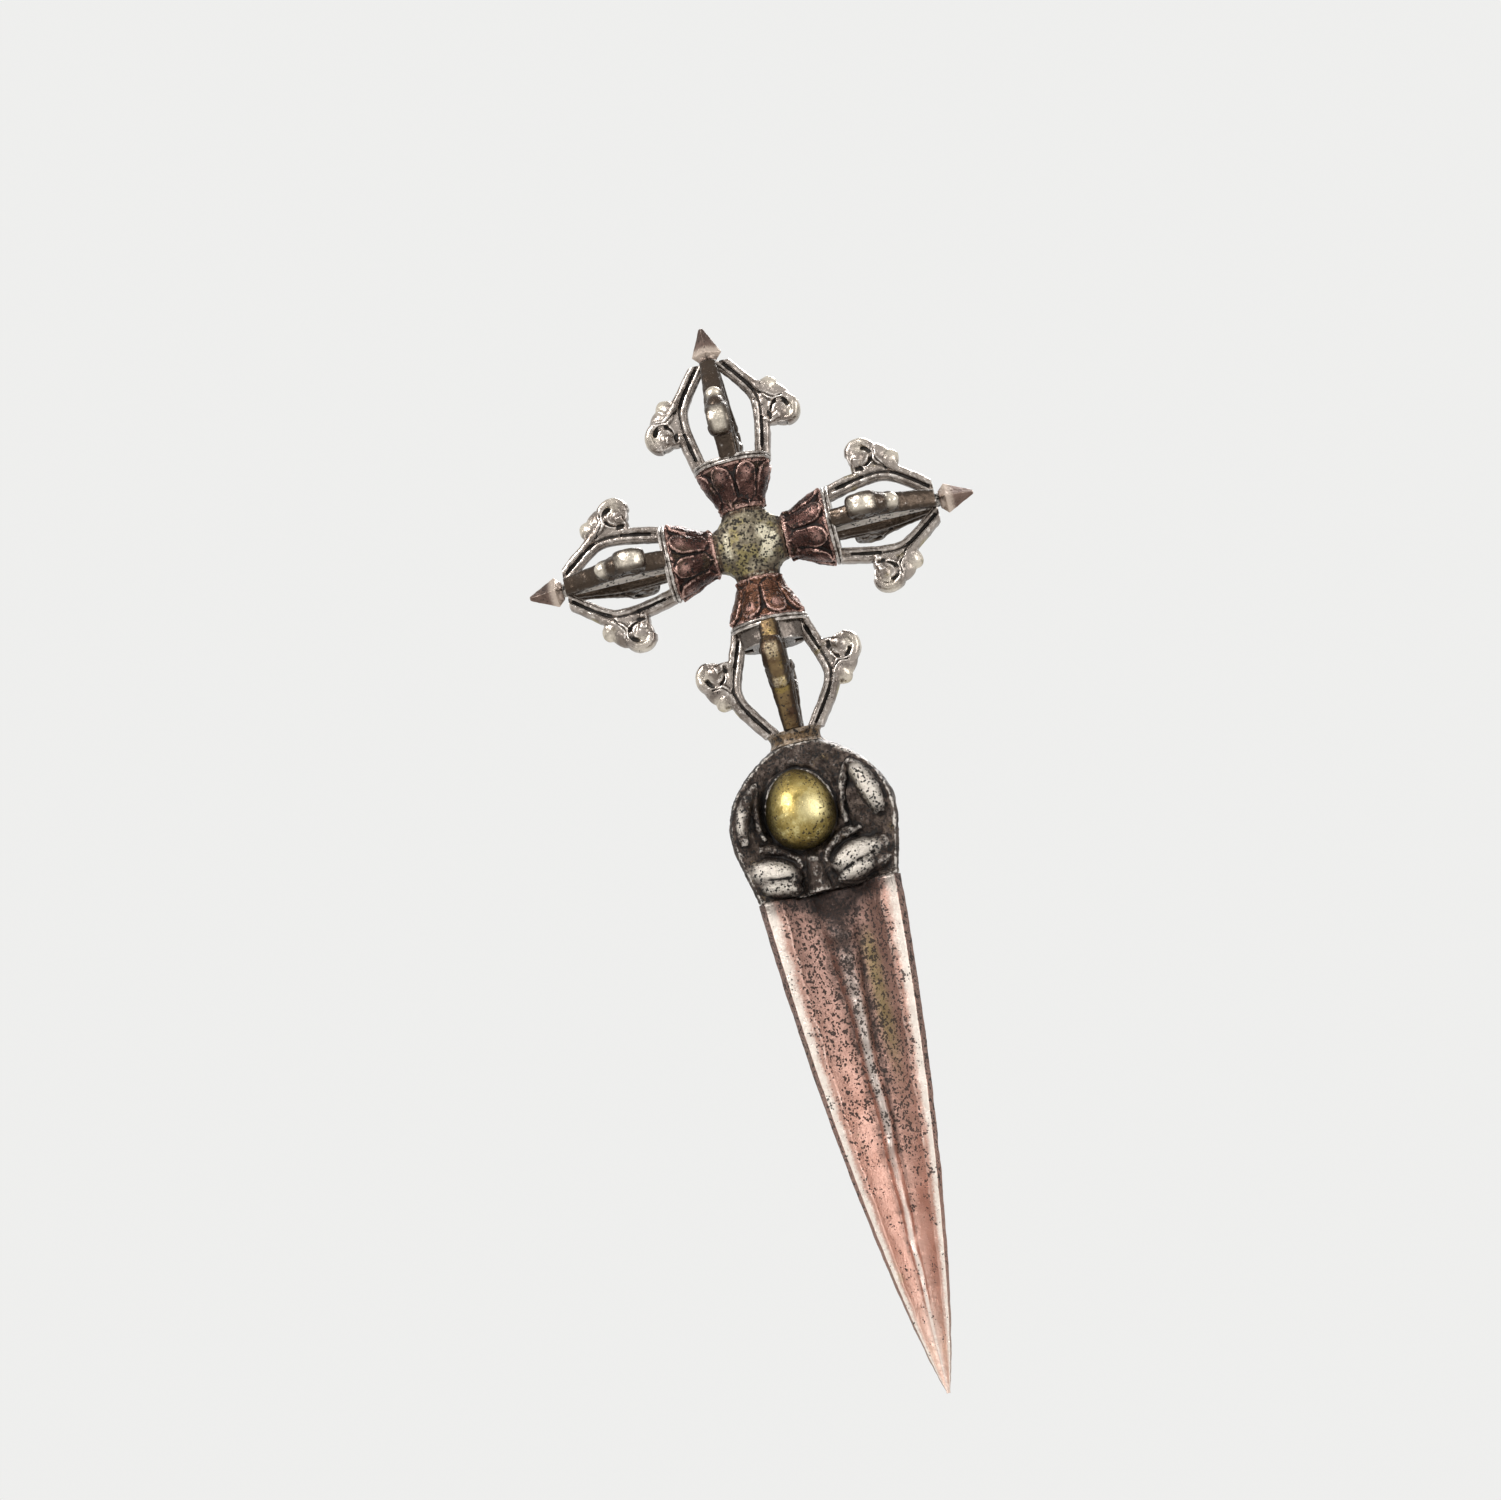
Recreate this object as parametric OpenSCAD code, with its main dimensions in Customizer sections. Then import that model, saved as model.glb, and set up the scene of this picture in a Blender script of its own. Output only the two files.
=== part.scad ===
// Phurba with a crossed double vajra: a three sided blade, a beast head and four caged arms.
// Lengths are in mm. The tip of the blade is the origin, +Z runs up the shaft, -Y is the front.

/* [Blade] */
// height of the blade, from its tip to the underside of the head
blade_len = 67; // [56:1:80]
// reach of the three blunt edges from the shaft line, at the top of the blade
blade_r = 10.6; // [9.6:0.1:11.4]
// width of a blunt edge at the top of the blade
edge_w = 1.6; // [1.2:0.1:2]
// distance from the shaft line to the floor of a hollow face, at the top
hollow_floor = 3; // [2.6:0.1:3.6]
// radius of the hollow ground into a face, at the top
hollow_r = 8.4; // [7.6:0.1:9.2]
// radius of the rib that runs down the middle of a face, at the top
rib_r = 1.9; // [1.4:0.1:2.2]
// length of the tang that goes up into the head
tang_len = 9; // [6:0.5:11]
// diameter of the tang
tang_d = 4.6; // [3.6:0.1:5]

/* [Head] */
// height of the head
head_h = 20.2; // [18:0.2:23]
// widest reach of the three fins of the head
head_r = 12.7; // [11.8:0.1:13.4]
// radius of the solid middle of the head
head_core_r = 5.9; // [5.6:0.1:6.4]
// width of the jewel on each face
jewel_w = 9.2; // [8.2:0.1:9.8]
// height of the jewel on each face
jewel_h = 10.8; // [9.4:0.1:11.4]
// length of a bean shaped eye
eye_len = 6.6; // [5.4:0.1:7.2]
// thickness of a bean shaped eye
eye_d = 4.5; // [3.6:0.1:5]
// upward slant of the eyes, in degrees
eye_slant = 17; // [5:1:25]
// how far the jewel, eyes and ears sit left of the middle of their face
relief_shift = 1.1; // [0:0.1:1.3]
// height of the ring between the head and the lowest cage
neck_h = 1.9; // [1.4:0.1:3]
// radius of that ring
neck_r = 3.7; // [3.5:0.1:4.4]

/* [Hub and collars] */
// distance from the middle of the hub to the seat of a collar
hub_r = 4.7; // [4.2:0.1:5.6]
// half the depth of the hub, front to back
hub_depth = 3.5; // [3.2:0.1:4]
// length of a lotus collar
collar_len = 6; // [5:0.1:7.5]
// radius of a collar where it meets the hub
collar_r = 3; // [2.7:0.1:3.3]
// radius of a collar at its wide end
flare_r = 5; // [4.6:0.1:5.2]
// number of petals round a collar
petals = 8; // [6:1:10]
// height that a petal stands proud of its collar
petal_rise = 0.35; // [0.2:0.05:0.5]
// radius of the rim plate that closes a collar
rim_r = 5.3; // [5.2:0.1:5.8]
// thickness of the rim plate
rim_h = 1; // [0.8:0.1:1.6]

/* [Prongs] */
// length of the free arms, from the middle of the hub to the point
arm_reach = 30.5; // [29.5:0.5:36]
// length of the lowest arm, from the middle of the hub to the neck ring
low_reach = 26; // [25:0.5:30]
// width of a prong in side view
prong_w = 2.1; // [1.8:0.1:2.4]
// thickness of a prong, seen head on
prong_t = 2.4; // [1.9:0.1:2.6]
// how far out the knee of a prong stands on the free arms
knee_out = 5.1; // [4.6:0.1:6]
// how far out the knee of a prong stands on the lowest arm
low_knee_out = 6.6; // [5.8:0.1:7.4]
// how much nearer the hub the knees of the front and back prongs sit on the free arms
depth_drop = 1.3; // [0:0.1:1.6]
// radius of the scroll on a prong
scroll_r = 2.35; // [2:0.05:2.6]
// thickness of the scroll, seen head on
scroll_t = 3.3; // [2.8:0.1:3.8]
// depth of the lines cut into the prongs
line_depth = 0.35; // [0.2:0.05:0.5]

/* [Points] */
// diameter of the centre pin in a free arm
pin_d = 1.8; // [1.4:0.1:2.2]
// length of the pointed tip
tip_len = 4.6; // [3.8:0.1:5.4]
// width of the pointed tip, corner to corner
tip_w = 3.9; // [3.4:0.1:4.6]

/* [Fits] */
// clearance round a tang, tenon, pin or jewel in its seat
fit_gap = 0.05; // [0.02:0.01:0.1]

/* [Hidden] */
$fn = 64;

// heights of the seats along the shaft
head_z = blade_len;
neck_z = head_z + head_h;
cage_z = neck_z + neck_h;
hub_z = cage_z + low_reach;

// three faces of the blade and head, the front one first
face_turn = [0, 120, 240];

// blade: the reach of an edge follows the height to a power that falls from the tip up
edge_power_tip = 0.73;
edge_power_fall = 0.33;
tip_flat_r = 0.3;
// the edges and the flat sides have their own steps, so that no two corners fall together
edge_steps = 18;
side_steps = 17;
step_power = 1.3;
half_edge = 90 * edge_w / (PI * blade_r);
border_share = cos(60 - half_edge);
cut_drop = 3;
cut_len = blade_len + cut_drop;
hollow_turn = atan(hollow_floor / cut_len);
hollow_half = atan(hollow_r / cut_len);
rib_tip_r = 0.25;
rib_low = 9;
rib_sink = 0.6;
rib_lean = atan((hollow_floor - rib_sink) / cut_len);
tang_top = 0.2;
// how far a cut or bore runs on past the surface that it opens
cut_spare = 1;

// head: side outline in shares of its height and reach, lower sweep then upper sweep
head_low = [[0.85, 0], [0.89, 0.17], [1, 0.29], [1, 0.455]];
head_high = [[1, 0.455], [1, 0.675], [0.69, 0.865], [neck_r / head_r, 1]];
head_steps = 8;
head_hollow_r = 15.5;
head_hollow_floor = 3.1;
core_low_share = 0.8;
jewel_z = head_z + 0.555 * head_h;
jewel_seat = 4.8;
jewel_mid = 4.7;
jewel_steps = 16;
jewel_top_slim = 0.1;
eye_z = head_z + 0.15 * head_h;
eye_out = 5.4;
eye_mid = 4.5;
bean_steps = 10;
bean_round = 0.9;
slit_h = 0.5;
slit_depth = 0.5;
slit_drop = 0.35;
snout_r = 2.1;
snout_mid = 4;
snout_top_h = 0.2 * head_h;
// a face's relief ends this many degrees short of the middle of its fins
fin_spare = 1.5;
face_half = 180 / len(face_turn) - fin_spare;
// outer and inner ear: distance out, distance forward, share up, share long, radius at the lobe
ears = [[8.6, 5.7, 0.37, 0.4, 1.35], [6.3, 4.9, 0.41, 0.26, 1]];
ear_top_r = 0.5;
ear_lean = 17;
neck_waist = 0.4;
neck_tenon_d = 3;
neck_tenon_len = 3;

// hub and collars
tenon_d = 3.2;
tenon_len = collar_len / 2;
pin_seat = collar_len / 3;
bore_spare = 0.2;
collar_end = hub_r + collar_len;
hub_dome_r = 8;
flare_power = 1.35;
collar_steps = 7;
petal_fill = 0.84;
petal_start = 0.16;
petal_stop = 0.94;
rim_round = 0.3;
rim_top = collar_end + rim_h;
spigot_h = 2.3;
spigot_r = 0.84 * rim_r;
spigot_sink = 0.1;
slot_spare = 0.2;

// prongs: plans are points of distance out and distance along the arm, set by the knee
foot_sink = 0.6;
foot_play = 0.05;
tip_room = 0.5;
prong_end = arm_reach - tip_len - tip_room;
prong_span = prong_end - rim_top;
foot_out = rim_r - prong_w / 2 - foot_play;
knee_up = rim_top + 0.63 * prong_span;
end_out = 0.75 * pin_d;
depth_knee_up = knee_up - depth_drop;
low_span = low_reach - rim_top;
low_knee_up = rim_top + 0.54 * low_span;
low_end_out = neck_r - 0.62 * prong_w;
low_path = [
    [[foot_out, rim_top - foot_sink], [foot_out + 0.1 * low_knee_out, rim_top + 0.17 * low_span],
        [1.03 * low_knee_out, rim_top + 0.4 * low_span], [low_knee_out, low_knee_up]],
    [[low_knee_out, low_knee_up], [0.97 * low_knee_out, rim_top + 0.68 * low_span],
        [0.6 * low_knee_out, rim_top + 0.87 * low_span], [low_end_out, rim_top + 1.04 * low_span]]
];
low_scroll = [low_knee_out + 0.96 * scroll_r, low_knee_up - 1.32 * scroll_r];
low_lobe = [low_knee_out + 0.37 * scroll_r, low_knee_up + 0.17 * scroll_r];
lobe_r = 1.25;
lobe_t = 2.5;
web_t = 1.9;
stem_steps = 6;
end_share = 0.92;
line_w = 0.6;
scroll_ring = 1.35;
scroll_trim = 0.27;
ring_start = 150;
ring_sweep = 275;

// points
tip_base = arm_reach - tip_len;
tip_back = 0.9;
tip_bore = 2;
tip_end_w = 0.25;
tip_waist = 0.62;

// turns that carry a shape drawn along +Z onto each arm
up_turn = [0, 0, 0];
right_turn = [0, 90, 0];
down_turn = [0, 180, 0];
left_turn = [0, -90, 0];

function mix(a, b, t) = a + (b - a) * t;
function bez(p, t) =
    pow(1 - t, 3) * p[0] + 3 * pow(1 - t, 2) * t * p[1] + 3 * (1 - t) * t * t * p[2] + t * t * t * p[3];
function bez_run(p, t) =
    pow(1 - t, 2) * (p[1] - p[0]) + 2 * (1 - t) * t * (p[2] - p[1]) + t * t * (p[3] - p[2]);
function side_of(v) = [v[1], -v[0]] / norm(v);

// reach of a blade edge at a share of the blade's height, with the steps closer near the tip
function edge_reach(u) = max(tip_flat_r, blade_r * pow(u, edge_power_tip - edge_power_fall * u));
function blade_share(t) = pow(t, step_power);

// radius of a collar at a share of its length
function collar_reach(v) = mix(collar_r, flare_r, pow(v, flare_power));

// both sweeps of a free prong, its scroll and its lobe, for a knee at this distance along the arm
function free_path(knee) = [
    [[foot_out, rim_top - foot_sink], [foot_out + 0.16 * knee_out, mix(rim_top, knee, 0.36)],
        [1.16 * knee_out, mix(rim_top, knee, 0.79)], [knee_out, knee]],
    [[knee_out, knee], [0.86 * knee_out, mix(knee, prong_end, 0.32)],
        [0.52 * knee_out, mix(knee, prong_end, 0.73)], [end_out, mix(knee, prong_end, 1.05)]]
];
function free_scroll(knee) = [knee_out + 1.34 * scroll_r, knee - 1.42 * scroll_r];
function free_lobe(knee) = [knee_out + 0.55 * scroll_r, knee + 0.13 * scroll_r];

// middle line and side directions along both sweeps of a prong, and the band between its edges
function path_pts(p) = concat(
    [for (i = [0:stem_steps]) bez(p[0], i / stem_steps)],
    [for (i = [1:stem_steps]) bez(p[1], i / stem_steps)]
);
function path_sides(p) = concat(
    [for (i = [0:stem_steps]) side_of(bez_run(p[0], i / stem_steps))],
    [for (i = [1:stem_steps]) side_of(bez_run(p[1], i / stem_steps))]
);
function ribbon(p, w_foot, w_end) =
    let (q = path_pts(p), d = path_sides(p), n = len(q) - 1)
    concat(
        [for (i = [0:n]) q[i] + d[i] * mix(w_foot, w_end, i / n) / 2],
        [for (i = [n:-1:0]) q[i] - d[i] * mix(w_foot, w_end, i / n) / 2]
    );

// blade

module blade_round() {
    rotate_extrude()
        polygon(concat(
            [for (i = [0:edge_steps])
                let (u = blade_share(i / edge_steps)) [edge_reach(u), blade_len * u]],
            [[0, blade_len], [0, 0]]
        ));
}

// one flat face, bowed along its length, as a slab that runs from side to side
module blade_side() {
    rotate([90, 0, -90])
        linear_extrude(4 * blade_r, center = true)
            polygon(concat(
                [for (i = [0:side_steps])
                    let (u = blade_share(i / side_steps)) [edge_reach(u) * border_share, blade_len * u]],
                [[-2 * blade_r, blade_len], [-2 * blade_r, 0]]
            ));
}

module blade_faces() {
    intersection() {
        blade_side();
        rotate([0, 0, face_turn[1]])
            blade_side();
        rotate([0, 0, face_turn[2]])
            blade_side();
    }
}

module face_hollow() {
    translate([0, 0, -cut_drop])
        rotate([hollow_turn + hollow_half, 0, 0])
            cylinder(h = 1.2 * cut_len, r1 = 0, r2 = 1.2 * cut_len * tan(hollow_half));
}

// rib with a sharp crest, a slim four sided spike that points down the middle of a face
module face_rib() {
    run = 1.1 * cut_len;
    low = rib_tip_r / sqrt(2);
    high = rib_r / sqrt(2) * run / cut_len;
    intersection() {
        translate([0, 0, -cut_drop])
            rotate([rib_lean, 0, 0])
                rotate([0, 0, 45])
                    square_cut(rib_r * 2)
                        polygon([[-low, rib_low], [low, rib_low], [high, run], [-high, run]]);
        translate([-blade_r, -2 * blade_r, 0])
            cube([2 * blade_r, 2 * blade_r, blade_len]);
    }
}

// outline extruded through itself at a right angle, as a square cut solid
module square_cut(reach) {
    intersection() {
        rotate([90, 0, 0])
            linear_extrude(2 * reach, center = true)
                children();
        rotate([90, 0, 90])
            linear_extrude(2 * reach, center = true)
                children();
    }
}

module blade_body() {
    difference() {
        intersection() {
            blade_round();
            blade_faces();
        }
        for (a = face_turn)
            rotate([0, 0, a])
                face_hollow();
    }
    for (a = face_turn)
        rotate([0, 0, a])
            face_rib();
    translate([0, 0, blade_len - cut_spare])
        cylinder(h = tang_len + cut_spare, d = tang_d);
}

// head

module head_round() {
    rotate_extrude()
        polygon(concat(
            [[0, 0]],
            [for (i = [0:head_steps])
                let (p = bez(head_low, i / head_steps)) [p[0] * head_r, p[1] * head_h]],
            [for (i = [1:head_steps])
                let (p = bez(head_high, i / head_steps)) [p[0] * head_r, p[1] * head_h]],
            [[0, head_h]]
        ));
}

module head_fins() {
    difference() {
        head_round();
        for (a = face_turn)
            rotate([0, 0, a])
                translate([0, -head_hollow_floor - head_hollow_r, -cut_spare])
                    cylinder(h = head_h + 2 * cut_spare, r = head_hollow_r, $fn = 128);
    }
}

module head_core() {
    core = [
        [[core_low_share * head_core_r, 0], [head_core_r * 0.95, 0.1 * head_h],
            [head_core_r, 0.2 * head_h], [head_core_r, 0.45 * head_h]],
        [[head_core_r, 0.45 * head_h], [head_core_r, 0.8 * head_h],
            [neck_r, 0.9 * head_h], [neck_r, head_h]]
    ];
    rotate_extrude()
        polygon(concat(
            [[0, 0]],
            [for (i = [0:head_steps]) bez(core[0], i / head_steps)],
            [for (i = [1:head_steps]) bez(core[1], i / head_steps)],
            [[0, head_h]]
        ));
}

// egg shape of a jewel, slimmer at its top, about its own upright middle line
module jewel_egg(grow) {
    rotate_extrude()
        polygon([for (i = [0:jewel_steps])
            let (a = 180 * i / jewel_steps - 90)
            [(jewel_w / 2 + grow) * cos(a) * (1 - jewel_top_slim * sin(a)), (jewel_h / 2 + grow) * sin(a)]]);
}

module jewel_block(grow) {
    intersection() {
        translate([-relief_shift, -jewel_mid, jewel_z])
            jewel_egg(grow);
        translate([-jewel_w - relief_shift, -jewel_seat - jewel_w, jewel_z - jewel_h])
            cube([2 * jewel_w, jewel_w, 2 * jewel_h]);
    }
}

// bean shape of an eye, about its own long middle line
module bean(grow) {
    rotate_extrude()
        polygon(concat(
            [[0, -eye_len / 2 - grow]],
            [for (i = [1:bean_steps - 1])
                let (a = 180 * i / bean_steps - 90)
                [(eye_d / 2 + grow) * pow(cos(a), bean_round), (eye_len / 2 + grow) * sin(a)]],
            [[0, eye_len / 2 + grow]]
        ));
}

// eye laid level, with a slit along its front
module eye() {
    rotate([0, 90, 0])
        difference() {
            bean(0);
            difference() {
                translate([slit_drop, -eye_d, -eye_len])
                    cube([slit_h, eye_d, 2 * eye_len]);
                bean(-slit_depth);
            }
        }
}

// room of one face, up to just short of the middle of its two fins
module face_room() {
    reach = 2 * head_r;
    translate([0, 0, head_z])
        linear_extrude(head_h)
            polygon([
                [0, 0], [-reach * sin(face_half), -reach * cos(face_half)], [-reach, -reach],
                [reach, -reach], [reach * sin(face_half), -reach * cos(face_half)]
            ]);
}

module face_relief() {
    for (side = [-1, 1]) {
        translate([side * eye_out, -eye_mid, eye_z])
            rotate([0, -side * eye_slant, 0])
                eye();
        for (e = ears)
            translate([side * e[0], -e[1], head_z + e[2] * head_h])
                rotate([0, -side * ear_lean, 0]) {
                    cylinder(h = e[3] * head_h, r1 = e[4], r2 = ear_top_r);
                    sphere(r = e[4]);
                }
    }
    translate([0, -snout_mid, head_z])
        cylinder(h = snout_top_h, r = snout_r);
    translate([0, -snout_mid, head_z + snout_top_h])
        sphere(r = snout_r);
}

module head_body() {
    difference() {
        union() {
            translate([0, 0, head_z]) {
                head_fins();
                head_core();
            }
            for (a = face_turn)
                rotate([0, 0, a])
                    intersection() {
                        translate([-relief_shift, 0, 0])
                            face_relief();
                        face_room();
                    }
        }
        for (a = face_turn)
            rotate([0, 0, a])
                jewel_block(fit_gap);
        translate([0, 0, head_z - cut_spare])
            cylinder(h = tang_len + tang_top + cut_spare, r = tang_d / 2 + fit_gap);
        translate([0, 0, neck_z - neck_tenon_len - tang_top])
            cylinder(h = neck_tenon_len + cut_spare, r = neck_tenon_d / 2 + fit_gap);
    }
}

module neck_body() {
    translate([0, 0, neck_z])
        difference() {
            cylinder(h = neck_h, r = neck_r);
            rotate_extrude()
                translate([neck_r + neck_h / 2 - neck_waist, neck_h / 2])
                    circle(r = neck_h / 2);
        }
    translate([0, 0, neck_z - neck_tenon_len])
        cylinder(h = neck_tenon_len + neck_h / 2, d = neck_tenon_d);
}

// hub

module hub_outline() {
    difference() {
        square(2 * hub_r, center = true);
        for (x = [-hub_r, hub_r])
            for (z = [-hub_r, hub_r])
                translate([x, z])
                    circle(r = hub_r - collar_r);
    }
}

module hub_body() {
    intersection() {
        rotate([90, 0, 0])
            linear_extrude(4 * hub_depth, center = true)
                hub_outline();
        translate([0, hub_dome_r - hub_depth, 0])
            sphere(r = hub_dome_r);
        translate([0, hub_depth - hub_dome_r, 0])
            sphere(r = hub_dome_r);
    }
    for (turn = [up_turn, right_turn])
        rotate(turn) {
            cylinder(h = 2 * hub_r, r = collar_r - fit_gap, center = true);
            cylinder(h = 2 * (hub_r + tenon_len), d = tenon_d, center = true);
        }
}

// collar, drawn along +Z from the middle of the hub

module collar_round(rise) {
    rotate_extrude()
        polygon(concat(
            [[0, hub_r]],
            [for (i = [0:collar_steps])
                [collar_reach(i / collar_steps) + rise, hub_r + collar_len * i / collar_steps]],
            [[0, collar_end]]
        ));
}

// outline of a petal seen from outside: narrow by the hub, round by the rim
module petal_outline() {
    half_low = petal_fill * collar_reach(petal_start) * tan(180 / petals);
    half_high = petal_fill * flare_r * tan(180 / petals);
    low = hub_r + petal_start * collar_len;
    high = hub_r + petal_stop * collar_len - half_high;
    polygon([[-half_low, low], [half_low, low], [half_high, high], [-half_high, high]]);
    translate([0, high])
        circle(r = half_high);
}

module collar_body() {
    difference() {
        union() {
            collar_round(0);
            intersection() {
                collar_round(petal_rise);
                for (i = [0:petals - 1])
                    rotate([0, 0, (i + 0.5) * 360 / petals])
                        rotate([90, 0, 90])
                            linear_extrude(2 * flare_r)
                                petal_outline();
            }
        }
        translate([0, 0, hub_r - cut_spare])
            cylinder(h = tenon_len + bore_spare + cut_spare, r = tenon_d / 2 + fit_gap);
        translate([0, 0, collar_end - pin_seat - bore_spare])
            cylinder(h = pin_seat + bore_spare + cut_spare, r = pin_d / 2 + fit_gap);
    }
}

// rim plates

module rim_disc() {
    rotate_extrude()
        union() {
            translate([0, collar_end])
                square([rim_r - rim_round, rim_h]);
            translate([0, collar_end + rim_round])
                square([rim_r, rim_h - 2 * rim_round]);
            for (z = [collar_end + rim_round, rim_top - rim_round])
                translate([rim_r - rim_round, z])
                    circle(r = rim_round, $fn = 24);
        }
}

module free_rim_body() {
    difference() {
        rim_disc();
        translate([0, 0, collar_end - cut_spare])
            cylinder(h = rim_h + 2 * cut_spare, r = pin_d / 2 + fit_gap);
    }
}

module low_rim_body() {
    rim_disc();
    translate([0, 0, collar_end - pin_seat])
        cylinder(h = pin_seat + 0.5 * rim_h, d = pin_d);
    difference() {
        translate([0, 0, rim_top - spigot_sink])
            cylinder(h = spigot_h + spigot_sink, r = spigot_r);
        for (a = [0, 90])
            rotate([0, 0, a])
                for (side = [-1, 1])
                    translate([side * (foot_out - prong_w / 2 - slot_spare + rim_r), 0, rim_top + spigot_h])
                        cube([2 * rim_r, prong_t + 2 * fit_gap, 2 * spigot_h], center = true);
    }
}

// pins and tips

module pin_body() {
    translate([0, 0, collar_end - pin_seat])
        cylinder(h = pin_seat + tip_base + tip_bore - collar_end, d = pin_d);
}

module tip_outline() {
    half = tip_w / 2 * cos(45);
    polygon([
        [-tip_waist * half, tip_base], [tip_waist * half, tip_base], [half, tip_base + tip_back],
        [tip_end_w / 2, arm_reach], [-tip_end_w / 2, arm_reach], [-half, tip_base + tip_back]
    ]);
}

module tip_body() {
    rotate([0, 0, 45])
        difference() {
            square_cut(tip_w)
                tip_outline();
            translate([0, 0, tip_base - cut_spare])
                cylinder(h = tip_bore + cut_spare, r = pin_d / 2 + fit_gap);
        }
}

// prongs, drawn out along +X and up along +Z

module sheet(thickness) {
    rotate([90, 0, 0])
        linear_extrude(thickness, center = true)
            children();
}

// stem seen head on: it slims towards its end
module slim_block(top) {
    rotate([90, 0, 90])
        linear_extrude(4 * rim_r)
            polygon([
                [-prong_t / 2, rim_top], [prong_t / 2, rim_top],
                [end_share * prong_t / 2, top], [-end_share * prong_t / 2, top]
            ]);
}

module scroll_knob(place) {
    rotate([90, 0, 0])
        translate([place[0], place[1], 0])
            intersection() {
                cylinder(h = scroll_t, r = scroll_r, center = true);
                sphere(r = norm([scroll_r, scroll_t / 2]) - scroll_trim);
            }
}

module scroll_line(place) {
    for (side = [-1, 1])
        translate([place[0], side * scroll_t / 2, place[1]])
            rotate([90, 0, 0])
                rotate([0, 0, ring_start])
                    rotate_extrude(angle = -ring_sweep)
                        translate([scroll_ring - line_w / 2, -line_depth])
                            square([line_w, 2 * line_depth]);
}

module stem_line(path) {
    for (side = [-1, 1])
        translate([0, side * (prong_t / 2), 0])
            sheet(2 * line_depth)
                polygon(ribbon(path, line_w, line_w * end_share));
}

module prong_body(path, scroll, lobe, top) {
    knee = path[1][0];
    difference() {
        union() {
            difference() {
                intersection() {
                    sheet(2 * prong_t)
                        polygon(ribbon(path, prong_w, prong_w * end_share));
                    slim_block(top);
                }
                stem_line(path);
            }
            sheet(web_t)
                polygon([knee, scroll, lobe, mix(knee, scroll, 0.5) - [0, scroll_r]]);
            scroll_knob(scroll);
            rotate([90, 0, 0])
                translate([lobe[0], lobe[1], 0])
                    cylinder(h = lobe_t, r = lobe_r, center = true);
        }
        scroll_line(scroll);
    }
}

// a free prong lies against the centre pin and its neighbours at its end
module free_prong(knee) {
    difference() {
        intersection() {
            prong_body(free_path(knee), free_scroll(knee), free_lobe(knee), prong_end);
            sheet(4 * rim_r)
                polygon([[0, 0], [2 * arm_reach, 0], [2 * arm_reach, prong_end], [0, prong_end]]);
            rotate([0, 0, -45])
                translate([fit_gap, fit_gap, 0])
                    cube([2 * arm_reach, 2 * arm_reach, 2 * arm_reach]);
        }
        cylinder(h = arm_reach, r = pin_d / 2 + fit_gap);
    }
}

module low_prong() {
    prong_body(low_path, low_scroll, low_lobe, low_reach);
}

module on_arm(turn) {
    translate([0, 0, hub_z])
        rotate(turn)
            children();
}

// named pieces

module blade() { color("lightsalmon") blade_body(); }
module head() { color("dimgray") head_body(); }
module jewel_front() { color("gold") rotate([0, 0, face_turn[0]]) jewel_block(0); }
module jewel_right() { color("gold") rotate([0, 0, face_turn[1]]) jewel_block(0); }
module jewel_left() { color("gold") rotate([0, 0, face_turn[2]]) jewel_block(0); }
module neck_ring() { color("gray") neck_body(); }
module hub() { color("khaki") on_arm(up_turn) hub_body(); }

module top_collar() { color("sienna") on_arm(up_turn) collar_body(); }
module right_collar() { color("sienna") on_arm(right_turn) collar_body(); }
module bottom_collar() { color("sienna") on_arm(down_turn) collar_body(); }
module left_collar() { color("sienna") on_arm(left_turn) collar_body(); }

module top_rim() { color("lightgray") on_arm(up_turn) free_rim_body(); }
module right_rim() { color("lightgray") on_arm(right_turn) free_rim_body(); }
module bottom_rim() { color("lightgray") on_arm(down_turn) low_rim_body(); }
module left_rim() { color("lightgray") on_arm(left_turn) free_rim_body(); }

module top_pin() { color("gray") on_arm(up_turn) pin_body(); }
module right_pin() { color("gray") on_arm(right_turn) pin_body(); }
module left_pin() { color("gray") on_arm(left_turn) pin_body(); }

module top_tip() { color("rosybrown") on_arm(up_turn) tip_body(); }
module right_tip() { color("rosybrown") on_arm(right_turn) tip_body(); }
module left_tip() { color("rosybrown") on_arm(left_turn) tip_body(); }

module top_prong_front() { color("silver") on_arm(up_turn) rotate([0, 0, -90]) free_prong(depth_knee_up); }
module top_prong_back() { color("silver") on_arm(up_turn) rotate([0, 0, 90]) free_prong(depth_knee_up); }
module top_prong_right() { color("silver") on_arm(up_turn) free_prong(knee_up); }
module top_prong_left() { color("silver") on_arm(up_turn) rotate([0, 0, 180]) free_prong(knee_up); }

module right_prong_front() { color("silver") on_arm(right_turn) rotate([0, 0, -90]) free_prong(depth_knee_up); }
module right_prong_back() { color("silver") on_arm(right_turn) rotate([0, 0, 90]) free_prong(depth_knee_up); }
module right_prong_upper() { color("silver") on_arm(right_turn) rotate([0, 0, 180]) free_prong(knee_up); }
module right_prong_lower() { color("silver") on_arm(right_turn) free_prong(knee_up); }

module bottom_prong_front() { color("silver") on_arm(down_turn) rotate([0, 0, -90]) low_prong(); }
module bottom_prong_back() { color("silver") on_arm(down_turn) rotate([0, 0, 90]) low_prong(); }
module bottom_prong_right() { color("silver") on_arm(down_turn) rotate([0, 0, 180]) low_prong(); }
module bottom_prong_left() { color("silver") on_arm(down_turn) low_prong(); }

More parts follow.
